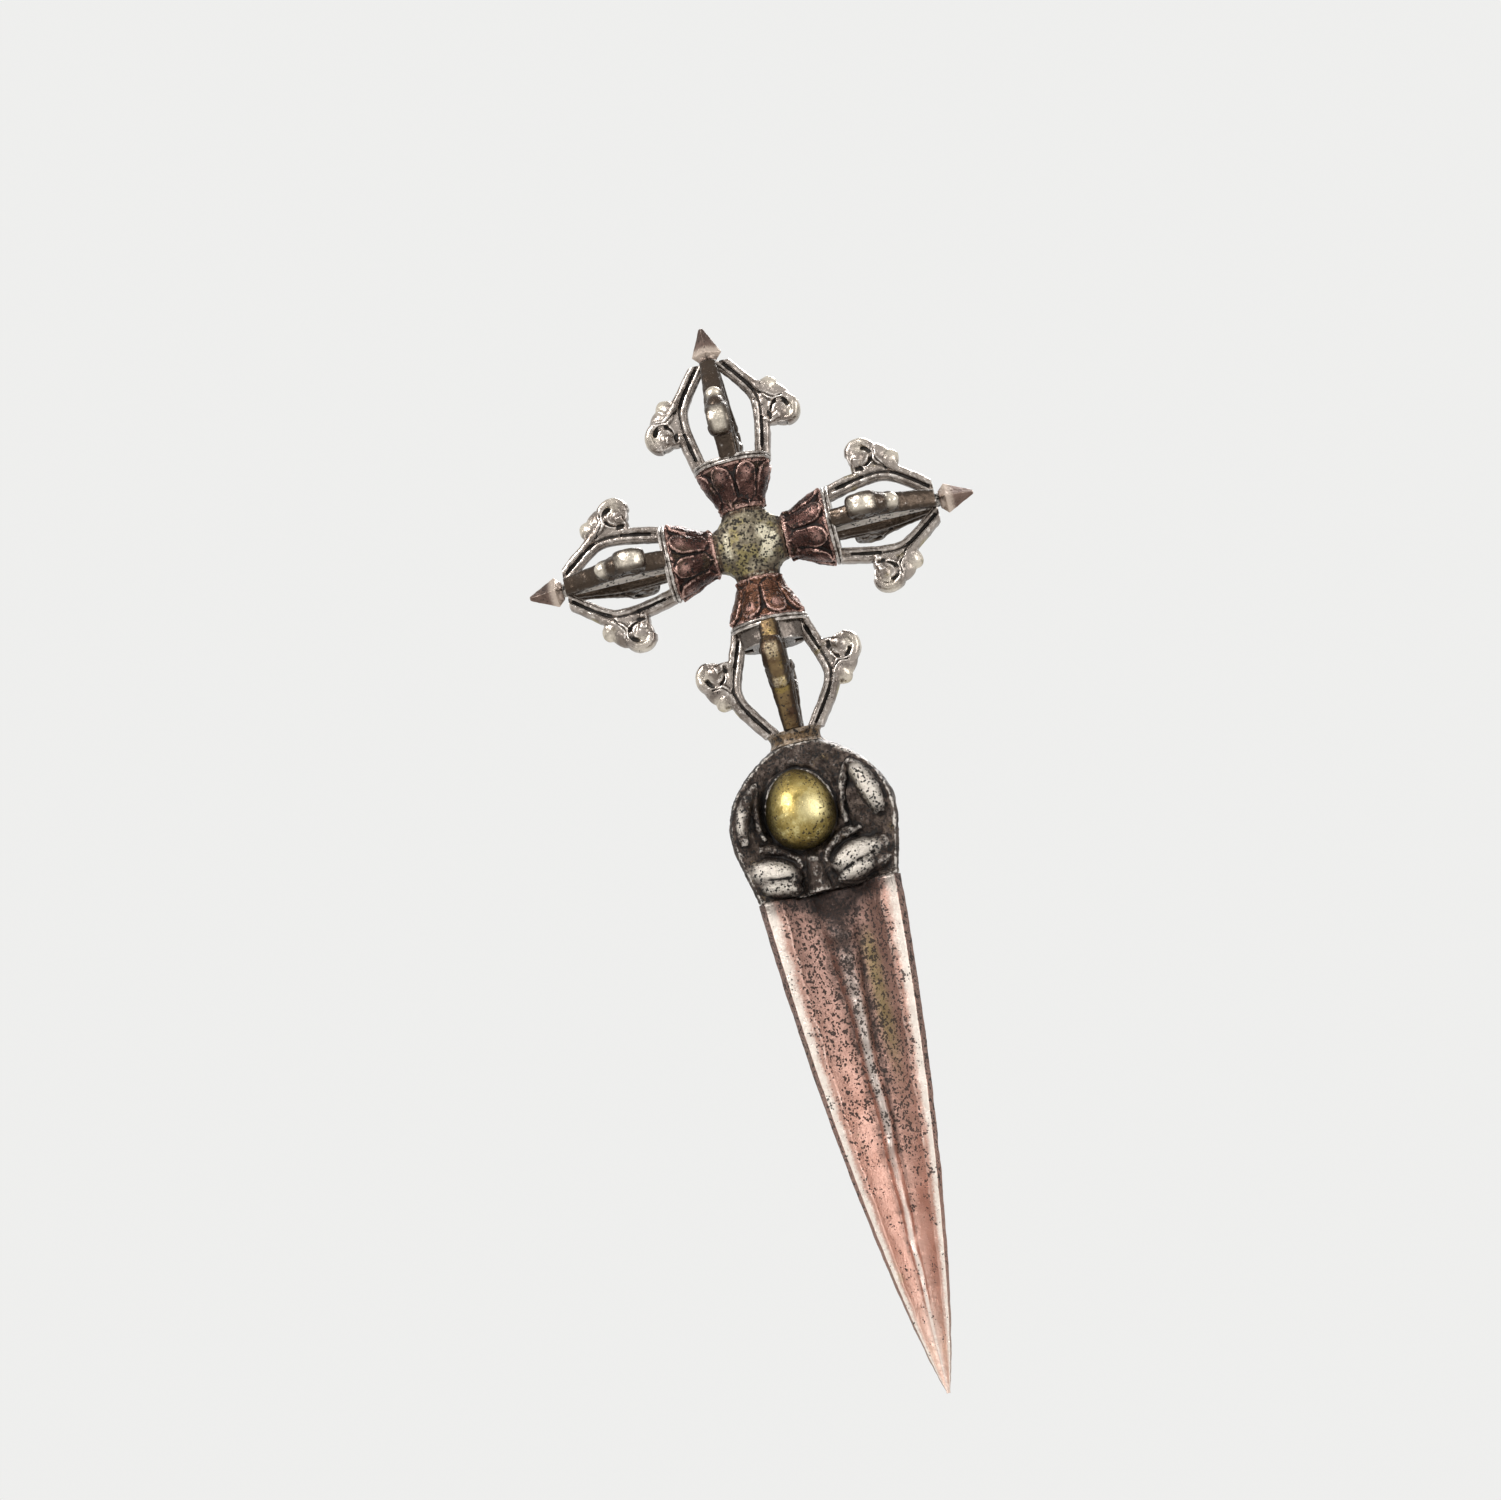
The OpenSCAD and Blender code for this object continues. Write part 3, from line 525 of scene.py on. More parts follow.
commonLook = {  # what most of the metals share; a metal names only what differs
    "grimeAndShade": 1.2, "rubAndHighlight": 1.0, "breakScale": 1.0, "grimeAndShadeCover": 0.9,
    "pitScale": 2.6, "pitAmount": 0.66, "traceScale": 0.3, "scratchScale": 2.0,
    "roughness": 0.34, "grimeAndShadeRoughness": 0.6, "metal": 0.92, "grimeAndShadeMetal": 0.4,
    "bumpStrength": 0.6, "bumpHeight": 0.1, "zones": (), "overZones": (),
}
# In each finish, bright is worn metal with a painted highlight and dark is grime with painted shade; the pale
# over-zone on high places is worn metal and a painted highlight, and the darkest zone along sides and edges is
# painted shade with some patina
finishes = {
    "bladeCopper": {
        "body": (0.60, 0.36, 0.29), "second": (0.48, 0.27, 0.21), "trace": (0.50, 0.35, 0.25),
        "bright": (0.86, 0.70, 0.61), "dark": (0.022, 0.016, 0.014),
        "grimeAndShade": 0.35, "rubAndHighlight": 0.6, "breakScale": 0.8, "grimeAndShadeCover": 0.88,
        "pitScale": 2.9, "pitAmount": 0.55, "pitSize": 0.5, "pitMark": "pitted",
        "cloudScale": 0.2, "traceScale": 0.12, "traceFrom": 0.58, "shift": 3.0,
        "grainScale": 3.0, "scratchScale": 1.2,
        "grimeAndShadeRoughness": 0.7, "grimeAndShadeMetal": 0.35,
        "bumpHeight": 0.14,
        # worn, aged and gilt are the copper's own; the bright border is wear and a painted highlight, the low
        # rib strip a painted highlight, and the two darkest zones painted shade, the darker with some patina
        "overZones": (
            ("worn", (0.80, 0.62, 0.53), 0.2, 1.3), ("aged", (0.27, 0.17, 0.14), 0.1, 1.5),
            ("gilt", (0.27, 0.21, 0.095), 0.3, 1.3), ("rib", (0.46, 0.40, 0.36), 0.2, 1.1),
            ("ribHighlight", (0.88, 0.76, 0.68), 0.3, 1.1), ("borderWearAndHighlight", (0.92, 0.82, 0.73), 0.35, 0.9),
            ("shadeAndPatina", (0.05, 0.036, 0.032), 0.2, 1.05),
            ("blunt", (0.13, 0.085, 0.07), 0.65, 1.35),
        ),
    },
    "darkBronze": {
        "body": (0.040, 0.029, 0.024), "second": (0.10, 0.076, 0.063), "trace": (0.14, 0.10, 0.055),
        "bright": (0.56, 0.51, 0.46), "dark": (0.010, 0.008, 0.007),
        "rubAndHighlight": 1.25, "breakScale": 0.9, "grimeAndShadeCover": 0.95,
        "pitSize": 0.42,
        "cloudScale": 0.9, "traceFrom": 0.62, "shift": 11.0,
        "grainScale": 2.6, "scratchScale": 1.5,
        "roughness": 0.32, "metal": 0.87, "grimeAndShadeMetal": 0.3,
        "bumpStrength": 0.9, "bumpHeight": 0.22,
        "overZones": (("bareAndHighlight", (0.60, 0.545, 0.48), 0.2, 1.1), ("gold", (0.20, 0.13, 0.07), 0.2, 1.0)),
    },
    "jewelBrass": {
        "body": (0.44, 0.33, 0.11), "second": (0.22, 0.16, 0.045), "trace": (0.16, 0.12, 0.035),
        "bright": (0.82, 0.72, 0.36), "dark": (0.03, 0.02, 0.008),
        "rubAndHighlight": 0.5, "breakScale": 0.7,
        "pitAmount": 0.52, "pitSize": 0.4, "pitMark": "pitted",
        "cloudScale": 0.26, "traceFrom": 0.56, "shift": 5.0,
        "grainScale": 4.5, "scratchScale": 1.6,
        "roughness": 0.3, "metal": 0.95, "grimeAndShadeMetal": 0.5,
        "bumpStrength": 0.5,
        "overZones": (("bareAndHighlight", (0.74, 0.64, 0.34), 0.35, 1.2), ("shadeAndPatina", (0.13, 0.10, 0.03), 0.3, 1.3)),
    },
    "hubBrass": {
        "body": (0.25, 0.215, 0.15), "second": (0.11, 0.088, 0.064), "trace": (0.26, 0.215, 0.10),
        "bright": (0.80, 0.75, 0.60), "dark": (0.018, 0.014, 0.010),
        "grimeAndShade": 1.7, "breakScale": 1.7, "grimeAndShadeCover": 0.94,
        "pitScale": 2.9, "pitAmount": 0.95, "pitSize": 0.46,
        "cloudScale": 0.5, "traceScale": 0.4, "traceFrom": 0.5, "shift": 21.0,
        "grainScale": 3.4,
        "roughness": 0.33, "grimeAndShadeRoughness": 0.62,
        "bumpStrength": 0.9, "bumpHeight": 0.16,
        "zones": (("shadeAndPatina", (0.09, 0.06, 0.04), 0.1, 0.9),),
        "overZones": (("bareAndHighlight", (0.72, 0.66, 0.50), 0.45, 1.15),),
    },
    "collarCopper": {
        "body": (0.05, 0.025, 0.021), "second": (0.10, 0.05, 0.041), "trace": (0.045, 0.03, 0.02),
        "bright": (0.52, 0.33, 0.28), "dark": (0.010, 0.007, 0.006),
        "breakScale": 1.3, "grimeAndShadeCover": 0.95,
        "pitScale": 2.7, "pitSize": 0.36,
        "cloudScale": 0.45, "traceScale": 0.35, "traceFrom": 0.54, "shift": 31.0,
        "grainScale": 3.4,
        "roughness": 0.27,
        "bumpStrength": 0.8, "bumpHeight": 0.15,
        "zones": (("rust", (0.13, 0.058, 0.034), 0.0, 1.3),),
        "overZones": (("bareAndHighlight", (0.40, 0.235, 0.20), 0.25, 1.25),),
    },
    "whiteCopper": {
        "body": (0.40, 0.345, 0.305), "second": (0.21, 0.172, 0.147), "trace": (0.24, 0.19, 0.10),
        "bright": (0.86, 0.79, 0.73), "dark": (0.012, 0.009, 0.007),
        "grimeAndShade": 1.8, "rubAndHighlight": 1.9, "grimeAndShadeCover": 0.97,
        "pitAmount": 0.42, "pitSize": 0.3,
        "cloudScale": 0.3, "traceScale": 0.2, "traceFrom": 0.62, "shift": 41.0,
        "grainScale": 2.8, "scratchScale": 1.8,
        "roughness": 0.24, "grimeAndShadeRoughness": 0.62, "metal": 0.95,
        "bumpStrength": 0.4,
        # the first zone is a painted dark reflection on the front and back prongs; the second is the rims' own
        # tone
        "zones": (("darkReflection", (0.066, 0.047, 0.034), 0.0, 1.1), ("rimTone", (0.12, 0.10, 0.086), 0.0, 1.2)),
        "overZones": (
            ("bareAndHighlight", (0.74, 0.66, 0.55), 0.45, 1.15), ("gold", (0.34, 0.27, 0.08), 0.25, 0.95),
            ("shadeAndPatina", (0.055, 0.040, 0.030), 0.2, 1.3),
        ),
    },
    "prongBrass": {
        "body": (0.20, 0.135, 0.066), "second": (0.085, 0.048, 0.03), "trace": (0.27, 0.19, 0.066),
        "bright": (0.72, 0.60, 0.40), "dark": (0.018, 0.012, 0.008),
        "grimeAndShade": 1.3, "rubAndHighlight": 0.9,
        "pitScale": 2.4, "pitSize": 0.34,
        "cloudScale": 0.34, "traceFrom": 0.54, "shift": 53.0,
        "grainScale": 3.5, "scratchScale": 1.6,
        "grimeAndShadeRoughness": 0.62, "metal": 0.94,
        "bumpHeight": 0.12,
        "overZones": (("bareAndHighlight", (0.66, 0.55, 0.37), 0.8, 1.25), ("shadeAndPatina", (0.035, 0.022, 0.014), 0.15, 1.1)),
    },
    "tipCopper": {
        "body": (0.20, 0.135, 0.11), "second": (0.10, 0.065, 0.052), "trace": (0.30, 0.21, 0.17),
        "bright": (0.74, 0.62, 0.54), "dark": (0.013, 0.009, 0.008),
        "grimeAndShade": 1.3, "rubAndHighlight": 1.3, "breakScale": 1.1,
        "pitScale": 2.8, "pitAmount": 0.5, "pitSize": 0.28,
        "cloudScale": 0.35, "traceFrom": 0.56, "shift": 71.0,
        "grainScale": 4.0, "scratchScale": 2.2,
        "overZones": (("bareAndHighlight", (0.60, 0.49, 0.41), 0.25, 1.0),),
    },
}
metal = {name: metalFinish(name, {**commonLook, **look}) for name, look in finishes.items()}
print("finishes made")
# rows of points that go round and meet, drawn as a grid; sealMesh then closes its seam and poles
def wrappedGrid(points):
    rows, columns = points.shape[:2]
    bpy.ops.mesh.primitive_grid_add(x_subdivisions=columns - 1, y_subdivisions=rows - 1, size=2)
    piece = bpy.context.object
    flat = readPoints(piece)
    order = np.lexsort((flat[:, 0].round(6), flat[:, 1].round(6)))
    flat[order] = points.reshape(-1, 3)
    writePoints(piece, flat)
    return piece, order


def spunGrid(radius, heights, columns):  # rows of radii spun round the upright line
    angles = np.linspace(0, 2 * math.pi, columns + 1)
    points = np.empty((len(heights), columns + 1, 3))
    points[..., 0] = radius * np.cos(angles)
    points[..., 1] = radius * np.sin(angles)
    points[..., 2] = heights[:, None]
    return wrappedGrid(points)


def closedGrid(radius, heights, columns):  # the same, closed by a pole at both ends
    return spunGrid(np.pad(radius, ((1, 1), (0, 0))), np.pad(heights, 1, mode="edge"), columns)


def turned(profile, columns=96):  # profile of (radius, height) that starts and ends on the upright line
    profile = np.array(profile, float)
    piece, _ = spunGrid(profile[:, :1], profile[:, 1], columns)
    sealMesh(piece)
    return piece


def drawCurve(dimensions, points, radii, closed=False):
    line = bpy.data.curves.new("line", "CURVE")
    line.dimensions = dimensions
    spline = line.splines.new("POLY")
    spline.points.add(len(points) - 1)
    for knot, place, radius in zip(spline.points, points, radii):
        knot.co = (*place, 1)
        knot.radius = radius
    spline.use_cyclic_u = closed
    piece = bpy.data.objects.new("line", line)
    bpy.context.collection.objects.link(piece)
    return piece


def solidCurve(piece):
    piece.data.use_fill_caps = True
    pickOnly(piece)
    bpy.ops.object.convert(target="MESH")
    return piece


def rod(points, radii):  # round bar of changing thickness along a line
    piece = drawCurve("3D", points, radii)
    piece.data.bevel_depth = 1.0
    piece.data.bevel_resolution = 5
    return solidCurve(piece)


def bar(path, outline, radii):  # bar of any section along a flat line
    section = drawCurve("2D", [(*place, 0) for place in outline], [1] * len(outline), closed=True)
    piece = drawCurve("2D", [(*place, 0) for place in path], radii)
    piece.data.fill_mode = "NONE"
    piece.data.bevel_mode = "OBJECT"
    piece.data.bevel_object = section
    piece = solidCurve(piece)
    bpy.data.objects.remove(section)
    return piece


def ball(radius, place, stretch=(1, 1, 1), turn=(0, 0, 0), segments=32):
    bpy.ops.mesh.primitive_uv_sphere_add(
        segments=segments, ring_count=segments // 2, radius=radius, location=place,
        rotation=[math.radians(a) for a in turn], scale=stretch,
    )
    piece = bpy.context.object
    fixTransform(piece)
    return piece


def drum(radius, low, high, place=(0, 0), vertices=48):
    bpy.ops.mesh.primitive_cylinder_add(
        vertices=vertices, radius=radius, depth=high - low, location=(*place, (low + high) / 2)
    )
    piece = bpy.context.object
    fixTransform(piece)
    return piece

# blade: three hollow faces with rounded borders, worn and painted bright as a highlight, and an uneven rib
blade = {
    "length": 67.0, "reach": 10.6, "tipReach": 0.3, "reachPower": 0.73, "reachBend": 0.33,
    "edgeWidth": 1.6, "bluntFrom": 0.8,
    "borderShare": 0.15,  # width of a border, worn and painted bright as a highlight, as a share of the reach of its edge
    "borderCrown": 0.06, "stepDrop": 0.1, "stepRun": 0.7,
    "hollowFloor": 3.0, "cutDrop": 3.0, "hollowPower": 1.55,
    "ribHalf": 1.45, "ribHeight": 1.2, "ribStart": 5.0, "ribRun": 14.0,
    "ribSpread": 1.3, "spreadFrom": 46, "spreadTo": 66, "spreadRise": 0.25,
    "tangRadius": 2.3, "tangTop": 76.0,
    "rows": 190, "rowPower": 1.25,
}
edgeShares = (0.0, 0.45, 0.8, 0.95)
borderShares = (0.05, 0.2, 0.4, 0.6, 0.8, 0.95)
stepShares = (0.25, 0.6, 1.0)


def bladeReach(z):
    u = min(max(z / blade["length"], 0), 1)
    return max(blade["tipReach"], blade["reach"] * u ** (blade["reachPower"] - blade["reachBend"] * u))


def bladeFace(z, wave, sway, swell):  # one face: side, depth, border wear and painted highlight, and rib at each place
    reach = bladeReach(z)
    size = reach / blade["reach"]
    half = 0.5 * blade["edgeWidth"] * size**0.8 / reach
    corner = math.radians(60) - half
    flat = reach * math.cos(corner)
    edgeSide = reach * math.sin(corner)
    inner = edgeSide - blade["borderShare"] * reach * (1 + wave)
    drop = blade["stepDrop"] * size
    floor = blade["hollowFloor"] * (z + blade["cutDrop"]) / (blade["length"] + blade["cutDrop"])
    floor = min(floor, flat - drop)
    spread = float(softStep(blade["spreadFrom"], blade["spreadTo"], z))
    foot = (blade["ribHalf"] + blade["ribSpread"] * spread) * size
    rise = blade["ribHeight"] * (1 + swell + blade["spreadRise"] * spread) * size
    rise *= float(softStep(blade["ribStart"], blade["ribStart"] + blade["ribRun"], z))
    side = []
    for t in edgeShares:
        turn = math.radians(60) - half * t
        side.append((reach * math.sin(turn), reach * math.cos(turn), 0, 0))
    # the border's value: worn metal with a painted highlight, brightest at the edge
    for t in borderShares:
        shine = 1 - 0.5 * float(softStep(0.25, 1.15, t))
        crown = blade["borderCrown"] * size * math.sin(math.pi * t)
        side.append((mixed(edgeSide, inner, t), flat + crown - drop * t * t * 0.5, shine, 0))
    step = blade["stepRun"] * size
    for t in stepShares:
        side.append((inner - step * t, flat - drop * (0.5 + t), 0.5 - 0.35 * t, 0))
    start, height = inner - step, flat - 1.5 * drop
    for t in np.linspace(0.05, 1, 12):
        s = mixed(start, foot, t)
        share = min(max((s - foot) / max(start - foot, 1e-6), 0), 1)
        side.append((s, floor + (height - floor) * share ** blade["hollowPower"], 0.15 * (1 - t) ** 3, 0))
    for t in np.linspace(0.14, 1, 7):
        shine = float(softStep(0.05, 0.75, t)) * (1 - 0.7 * spread)
        side.append((foot * (1 - t), floor + rise * math.sin(t * math.pi / 2), 0, shine))
    face = side + [(-s, d, b, r) for s, d, b, r in reversed(side[:-1])]
    return [(s + sway * size * (1 - min(abs(s) / edgeSide, 1)) ** 2, d, b, r) for s, d, b, r in face]


bladeTones = {  # heights between which a tone sets in, from the point up
    "shadeSides": (46, 64), "shadeUnderHead": (63, 66.5), "ribShadow": (12, 36), "lowRib": (20, 38),
    "giltLow": (22, 34), "giltHigh": (36, 50), "giltEnd": (58, 65),
    "aged": (26, 58), "agedRight": (18, 30), "worn": (3, 24), "pitted": (16, 48), "pittedRight": (14, 30),
}


def bladeUneven(rng, heights, knots, amount):
    return np.interp(heights, np.linspace(0, blade["length"], knots), rng.normal(0, amount, knots))


def makeBlade():
    heights = blade["length"] * np.linspace(0, 1, blade["rows"]) ** blade["rowPower"]
    rng = np.random.default_rng(7)
    waves = bladeUneven(rng, heights, 40, 0.1)
    sways = bladeUneven(rng, heights, 18, 0.22)
    swells = bladeUneven(rng, heights, 44, 0.3)
    rows = []
    for z, wave, sway, swell in zip(heights, waves, sways, swells):
        row = []
        for turn in faceTurn.values():
            c, n = math.cos(math.radians(turn)), math.sin(math.radians(turn))
            face = bladeFace(z, wave, sway, swell)[:-1]
            for s, d, b, r in reversed(face):  # from the left corner to the right one
                # painted shade on the fin edges that turn away
                blunt = float(b == 0 and r == 0 and abs(s) > blade["bluntFrom"] * bladeReach(z))
                row.append((s * c + d * n, s * n - d * c, z, b, r, s, blunt))
        row.append(row[0])
        rows.append(row)
    low, high = np.array(rows[0]), np.array(rows[-1])
    low[:, :2] = 0
    high[:, :2] = 0
    data = np.array([low] + rows + [high])
    piece, order = wrappedGrid(np.ascontiguousarray(data[..., :3]))
    z, borderWearAndHighlight, rib, s, blunt = np.moveaxis(data[..., 2:], -1, 0)
    tone = {name: softStep(*span, z) for name, span in bladeTones.items()}
    onRight = softStep(0, 2, s)
    plain = (1 - borderWearAndHighlight) * (1 - 0.15 * rib)
    # painted shade: darker down the middle under the head, widening towards it, and a band just under it
    shadeAndPatina = tone["shadeSides"] * bell(s, 1.1 + 0.13 * np.maximum(z - 46, 0)) + 0.7 * tone["shadeUnderHead"]
    ribShadow = 0.75 * bell(s - 0.35 - 0.025 * z, 0.14 + 0.008 * z) * tone["ribShadow"]  # painted shadow right of the rib
    gilt = (0.4 * tone["giltLow"] + 0.6 * tone["giltHigh"]) * (1 - tone["giltEnd"])
    lowRib = 1 - tone["lowRib"]
    patches = np.interp(z, np.linspace(0, blade["length"], 60), rng.uniform(0.8, 1.0, 60))
    marks = {
        # wear and painted highlight along the borders
        "borderWearAndHighlight": borderWearAndHighlight * np.where(s > 0, patches, patches[::-1]),
        # the rib's own silver tone fades out low down, where a painted highlight strip takes over
        "rib": rib * (1 - 0.85 * lowRib),
        "ribHighlight": rib * lowRib,
        "shadeAndPatina": np.clip(np.maximum(shadeAndPatina, ribShadow), 0, 1),
        "gilt": bell(s - 3.3, 1.6) * gilt,
        "aged": np.clip(tone["aged"] + 0.25 * onRight * tone["agedRight"], 0, 1) * plain,
        "worn": 1 - tone["worn"],
        # painted shade on the fin edges
        "blunt": blunt,
        "pitted": (0.12 + 0.6 * tone["pitted"] + 0.28 * onRight * tone["pittedRight"]) * plain,
    }
    for name, mark in marks.items():
        markGrid(piece, order, name, mark)
    sealMesh(piece, 0.004)
    return joinAll([piece, drum(blade["tangRadius"], blade["length"] - 1, blade["tangTop"])])


bladePiece = makeBlade()
castLumps(bladePiece, (2.4, 0.22), (0.8, 0.09))
markRelief(bladePiece, 20, 0.35)
for name in ("proud", "sunk"):  # the cut end under the head isn't a worn edge and takes no rub, grime, painted highlight or painted shade
    fadeMark(bladePiece, name, 1 - softStep(64.5, 66, readPoints(bladePiece)[:, 2]))
smoothShade(bladePiece)
settle(bladePiece, "bladeForm", "blade", metal["bladeCopper"])
print("blade made")

# head: three fins round a solid middle, with two lidded eyes, two ears and a snout ridge on each face
head = {
    "base": 67.0, "height": 20.2, "reach": 12.7, "core": 5.9, "neck": 3.7,
    "hollowRadius": 15.5, "hollowCentre": 18.6,
    "columns": 288, "rows": 96, "voxel": 0.17,
    "shift": 1.1, "scoreWidth": 0.2, "scoreDepth": 0.5,
    "jewelZ": 78.21, "jewelSize": (4.6, 5.4), "jewelSeat": 4.75, "jewelShift": 1.4,
}
headTop = head["base"] + head["height"]
headLow = [[0.85, 0], [0.89, 0.17], [1, 0.29], [1, 0.455]]
headHigh = [[1, 0.455], [1, 0.675], [0.69, 0.865], [head["neck"] / head["reach"], 1]]
coreLow = [[0.8 * head["core"], 0], [5.6, 0.1], [head["core"], 0.2], [head["core"], 0.45]]
coreHigh = [[head["core"], 0.45], [head["core"], 0.8], [head["neck"], 0.9], [head["neck"], 1]]


def sweptReach(low, high, shares, size):
    run = np.linspace(0, 1, 30)
    line = [bezierAt(low, t) for t in run] + [bezierAt(high, t) for t in run[1:]]
    across, up = np.array(line).T
    return np.interp(shares, up, across * size)


def makeHeadBody():
    shares = np.linspace(0, 1, head["rows"])
    outer = sweptReach(headLow, headHigh, shares, head["reach"] * 0.995)
    inner = sweptReach(coreLow, coreHigh, shares, 1)
    angles = np.linspace(0, 2 * math.pi, head["columns"] + 1)
    away = np.abs((np.degrees(angles) + 90 + 60) % 120 - 60)  # turn away from the middle of a face, -Y first
    away = np.radians(away)
    under = head["hollowRadius"] ** 2 - (head["hollowCentre"] * np.sin(away)) ** 2
    hollow = np.where(under > 0, head["hollowCentre"] * np.cos(away) - np.sqrt(np.maximum(under, 0)), 99)
    fins = np.minimum(outer[:, None], hollow[None, :])
    reach = np.maximum(fins, inner[:, None])
    piece, _ = closedGrid(reach, head["base"] + shares * head["height"], head["columns"])
    sealMesh(piece)
    return piece


def faceDepth(x, z):  # how far forward the plain head stands on its front face
    share = (z - head["base"]) / head["height"]
    core = float(sweptReach(coreLow, coreHigh, share, 1))
    depth = math.sqrt(max(head["hollowRadius"] ** 2 - x * x, 0)) - head["hollowCentre"]
    if abs(x) < core:
        depth = min(depth, -math.sqrt(core * core - x * x))
    return depth


def faceRod(places, radii, lift=0.0):  # a round bar that follows the face, given by side and height
    line = smoothLine([(x, faceDepth(x, z) - lift, z) for x, z in places], 30)
    return rod(line, np.interp(np.linspace(0, 1, 30), np.linspace(0, 1, len(radii)), radii))


earBars = (  # side and height of each knot, radii, and how far it stands off the face
    # ears: a broad outer fold and a thin inner ridge that meet at the top
    ([(6.0, 83.2), (6.7, 82.2), (7.6, 80.3), (8.2, 78.3), (8.7, 76.4), (8.8, 75.2)],
     (0.4, 1.15, 1.55, 1.65, 1.45, 0.7), 0.45),
    ([(5.9, 83.0), (5.1, 81.2), (4.4, 79.2), (3.9, 77.2), (4.2, 75.3)], (0.35, 0.6, 0.7, 0.6, 0.35), 0.3),
    ([(-6.4, 83.0), (-7.4, 81.8), (-8.5, 79.9), (-9.2, 78.0), (-9.5, 76.0), (-9.4, 74.9)],
     (0.35, 0.75, 1.0, 1.05, 0.95, 0.5), 0.1),
    ([(-6.4, 82.6), (-6.9, 80.8), (-7.2, 78.8), (-7.2, 76.8), (-6.8, 75.2)],
     (0.3, 0.5, 0.6, 0.55, 0.35), 0.2),
)
browBar = [(1.5, 70.6), (2.4, 72.4), (4.4, 73.7), (6.8, 74.2)]
snoutBar = [(-4.7, 67.2), (-5.3, 69.5), (-5.6, 71.4), (-5.2, 72.6)]  # depth and height


def makeFaceRelief():  # the front face's relief, later turned to the other two
    shift = head["shift"]
    parts = []
    for side in (-1, 1):
        eyeX = side * 5.4 - shift
        parts.append(ball(1, (eyeX, -4.6, 70.45), (3.7, 2.5, 2.35), (0, -side * 18, 0)))
        parts.append(ball(1, (eyeX, -4.6, 68.8), (3.3, 2.15, 1.45), (0, -side * 16, 0)))
        parts.append(faceRod([(side * x - shift, z) for x, z in browBar], (0.4, 0.75, 0.85, 0.5)))
    parts += [faceRod(*ear) for ear in earBars]
    parts.append(rod([(-shift, y, z) for y, z in snoutBar], (1.6, 1.3, 0.9, 0.5)))
    jewelBed = ball(1, (-shift - 0.3, -4.0, head["jewelZ"]), (5.3, 1.1, 6.0))
    parts.append(jewelBed)
    return joinAll(parts)


scoredLines = (  # scored under the eyes, on the front face
    [(-7.9, -6.4, 70.0), (-6.4, -6.9, 69.6), (-4.4, -6.6, 69.35)],
    [(2.1, -6.4, 68.75), (3.9, -6.9, 69.35)],
    [(4.5, -6.9, 69.6), (6.8, -6.3, 70.35)],
)
wornAndHighlitLines = (  # places rubbed bright and painted with a highlight on the eyes, lids and ears, and how far the shine reaches
    ([(-8.2, -6.8, 71.2), (-5.0, -7.2, 70.5)], 2.1), ([(2.6, -7.0, 70.2), (6.2, -6.8, 71.4)], 2.1),
    ([(-7.6, -6.4, 68.5), (-4.8, -6.8, 68.3)], 1.3), ([(2.6, -6.8, 68.2), (5.6, -6.4, 68.9)], 1.3),
    ([(7.0, -6.6, 81.4), (8.0, -7.4, 79.0), (8.6, -7.6, 76.8)], 1.65),
    ([(-9.0, -7.4, 79.6), (-9.6, -7.8, 77.0)], 1.0),
    ([(4.9, -6.2, 80.6), (4.1, -6.0, 78.0)], 0.7),
)


def seatJewels(piece):  # presses a seat and a groove for each jewel, and gives each point's place on a groove
    points = readPoints(piece)
    ringed = np.zeros(len(points))
    width, height = head["jewelSize"]
    for turn in faceTurn.values():
        points = points @ turnTable(turn)  # seen from its own face
        x, y, z = points.T
        far = np.hypot((x + head["jewelShift"]) / width, (z - head["jewelZ"]) / height)
        near = (y < -2.5) & (far < 1.25) & (np.abs(x) < 7.5)
        sink = np.where(far < 1.02, np.maximum(-y - head["jewelSeat"], 0), 0.6 * bell(far - 1.03, 0.1))
        points[:, 1] += np.where(near, sink, 0)
        ringed = np.maximum(ringed, np.where(near, bell(far - 1.1, 0.14), 0))
        points = points @ turnTable(turn).T
    writePoints(piece, points)
    keepBetween(piece, 2, head["base"], headTop)
    return ringed


headPiece = makeHeadBody()
reliefs = [makeFaceRelief()]
for turn in (120, 240):
    other = copyOf(reliefs[0])
    other.data.transform(turnBy(turn))
    reliefs.append(other)
headPiece = joinAll([headPiece] + reliefs)
meltTogether(headPiece, head["voxel"], 2)
ringed = seatJewels(headPiece)
castLumps(headPiece, (1.5, 0.3), (0.5, 0.1))
for turn in faceTurn.values():
    for line in scoredLines:
        carveLine(headPiece, np.array(line) @ turnTable(turn).T, head["scoreWidth"], head["scoreDepth"])
points = readPoints(headPiece)
# worn metal and painted highlight along those lines
bareAndHighlight = np.zeros(len(points))
for turn in faceTurn.values():
    for line, reach in wornAndHighlitLines:
        bareAndHighlight = np.maximum(bareAndHighlight, 1.25 - farFrom(points, np.array(line) @ turnTable(turn).T) / reach)
storeMark(headPiece, "bareAndHighlight", np.clip(bareAndHighlight, 0, 1))
markRelief(headPiece, 14, 0.22)
fadeMark(headPiece, "proud", 1 - 0.85 * ringed)
smoothShade(headPiece)
settle(headPiece, "headForm", "head", metal["darkBronze"])
print("head made")

# jewels: egg shaped brass domes, flat behind
jewel = {"width": 9.2, "height": 10.8, "middle": 4.7, "seat": 4.8, "topSlim": 0.12, "segments": 112}


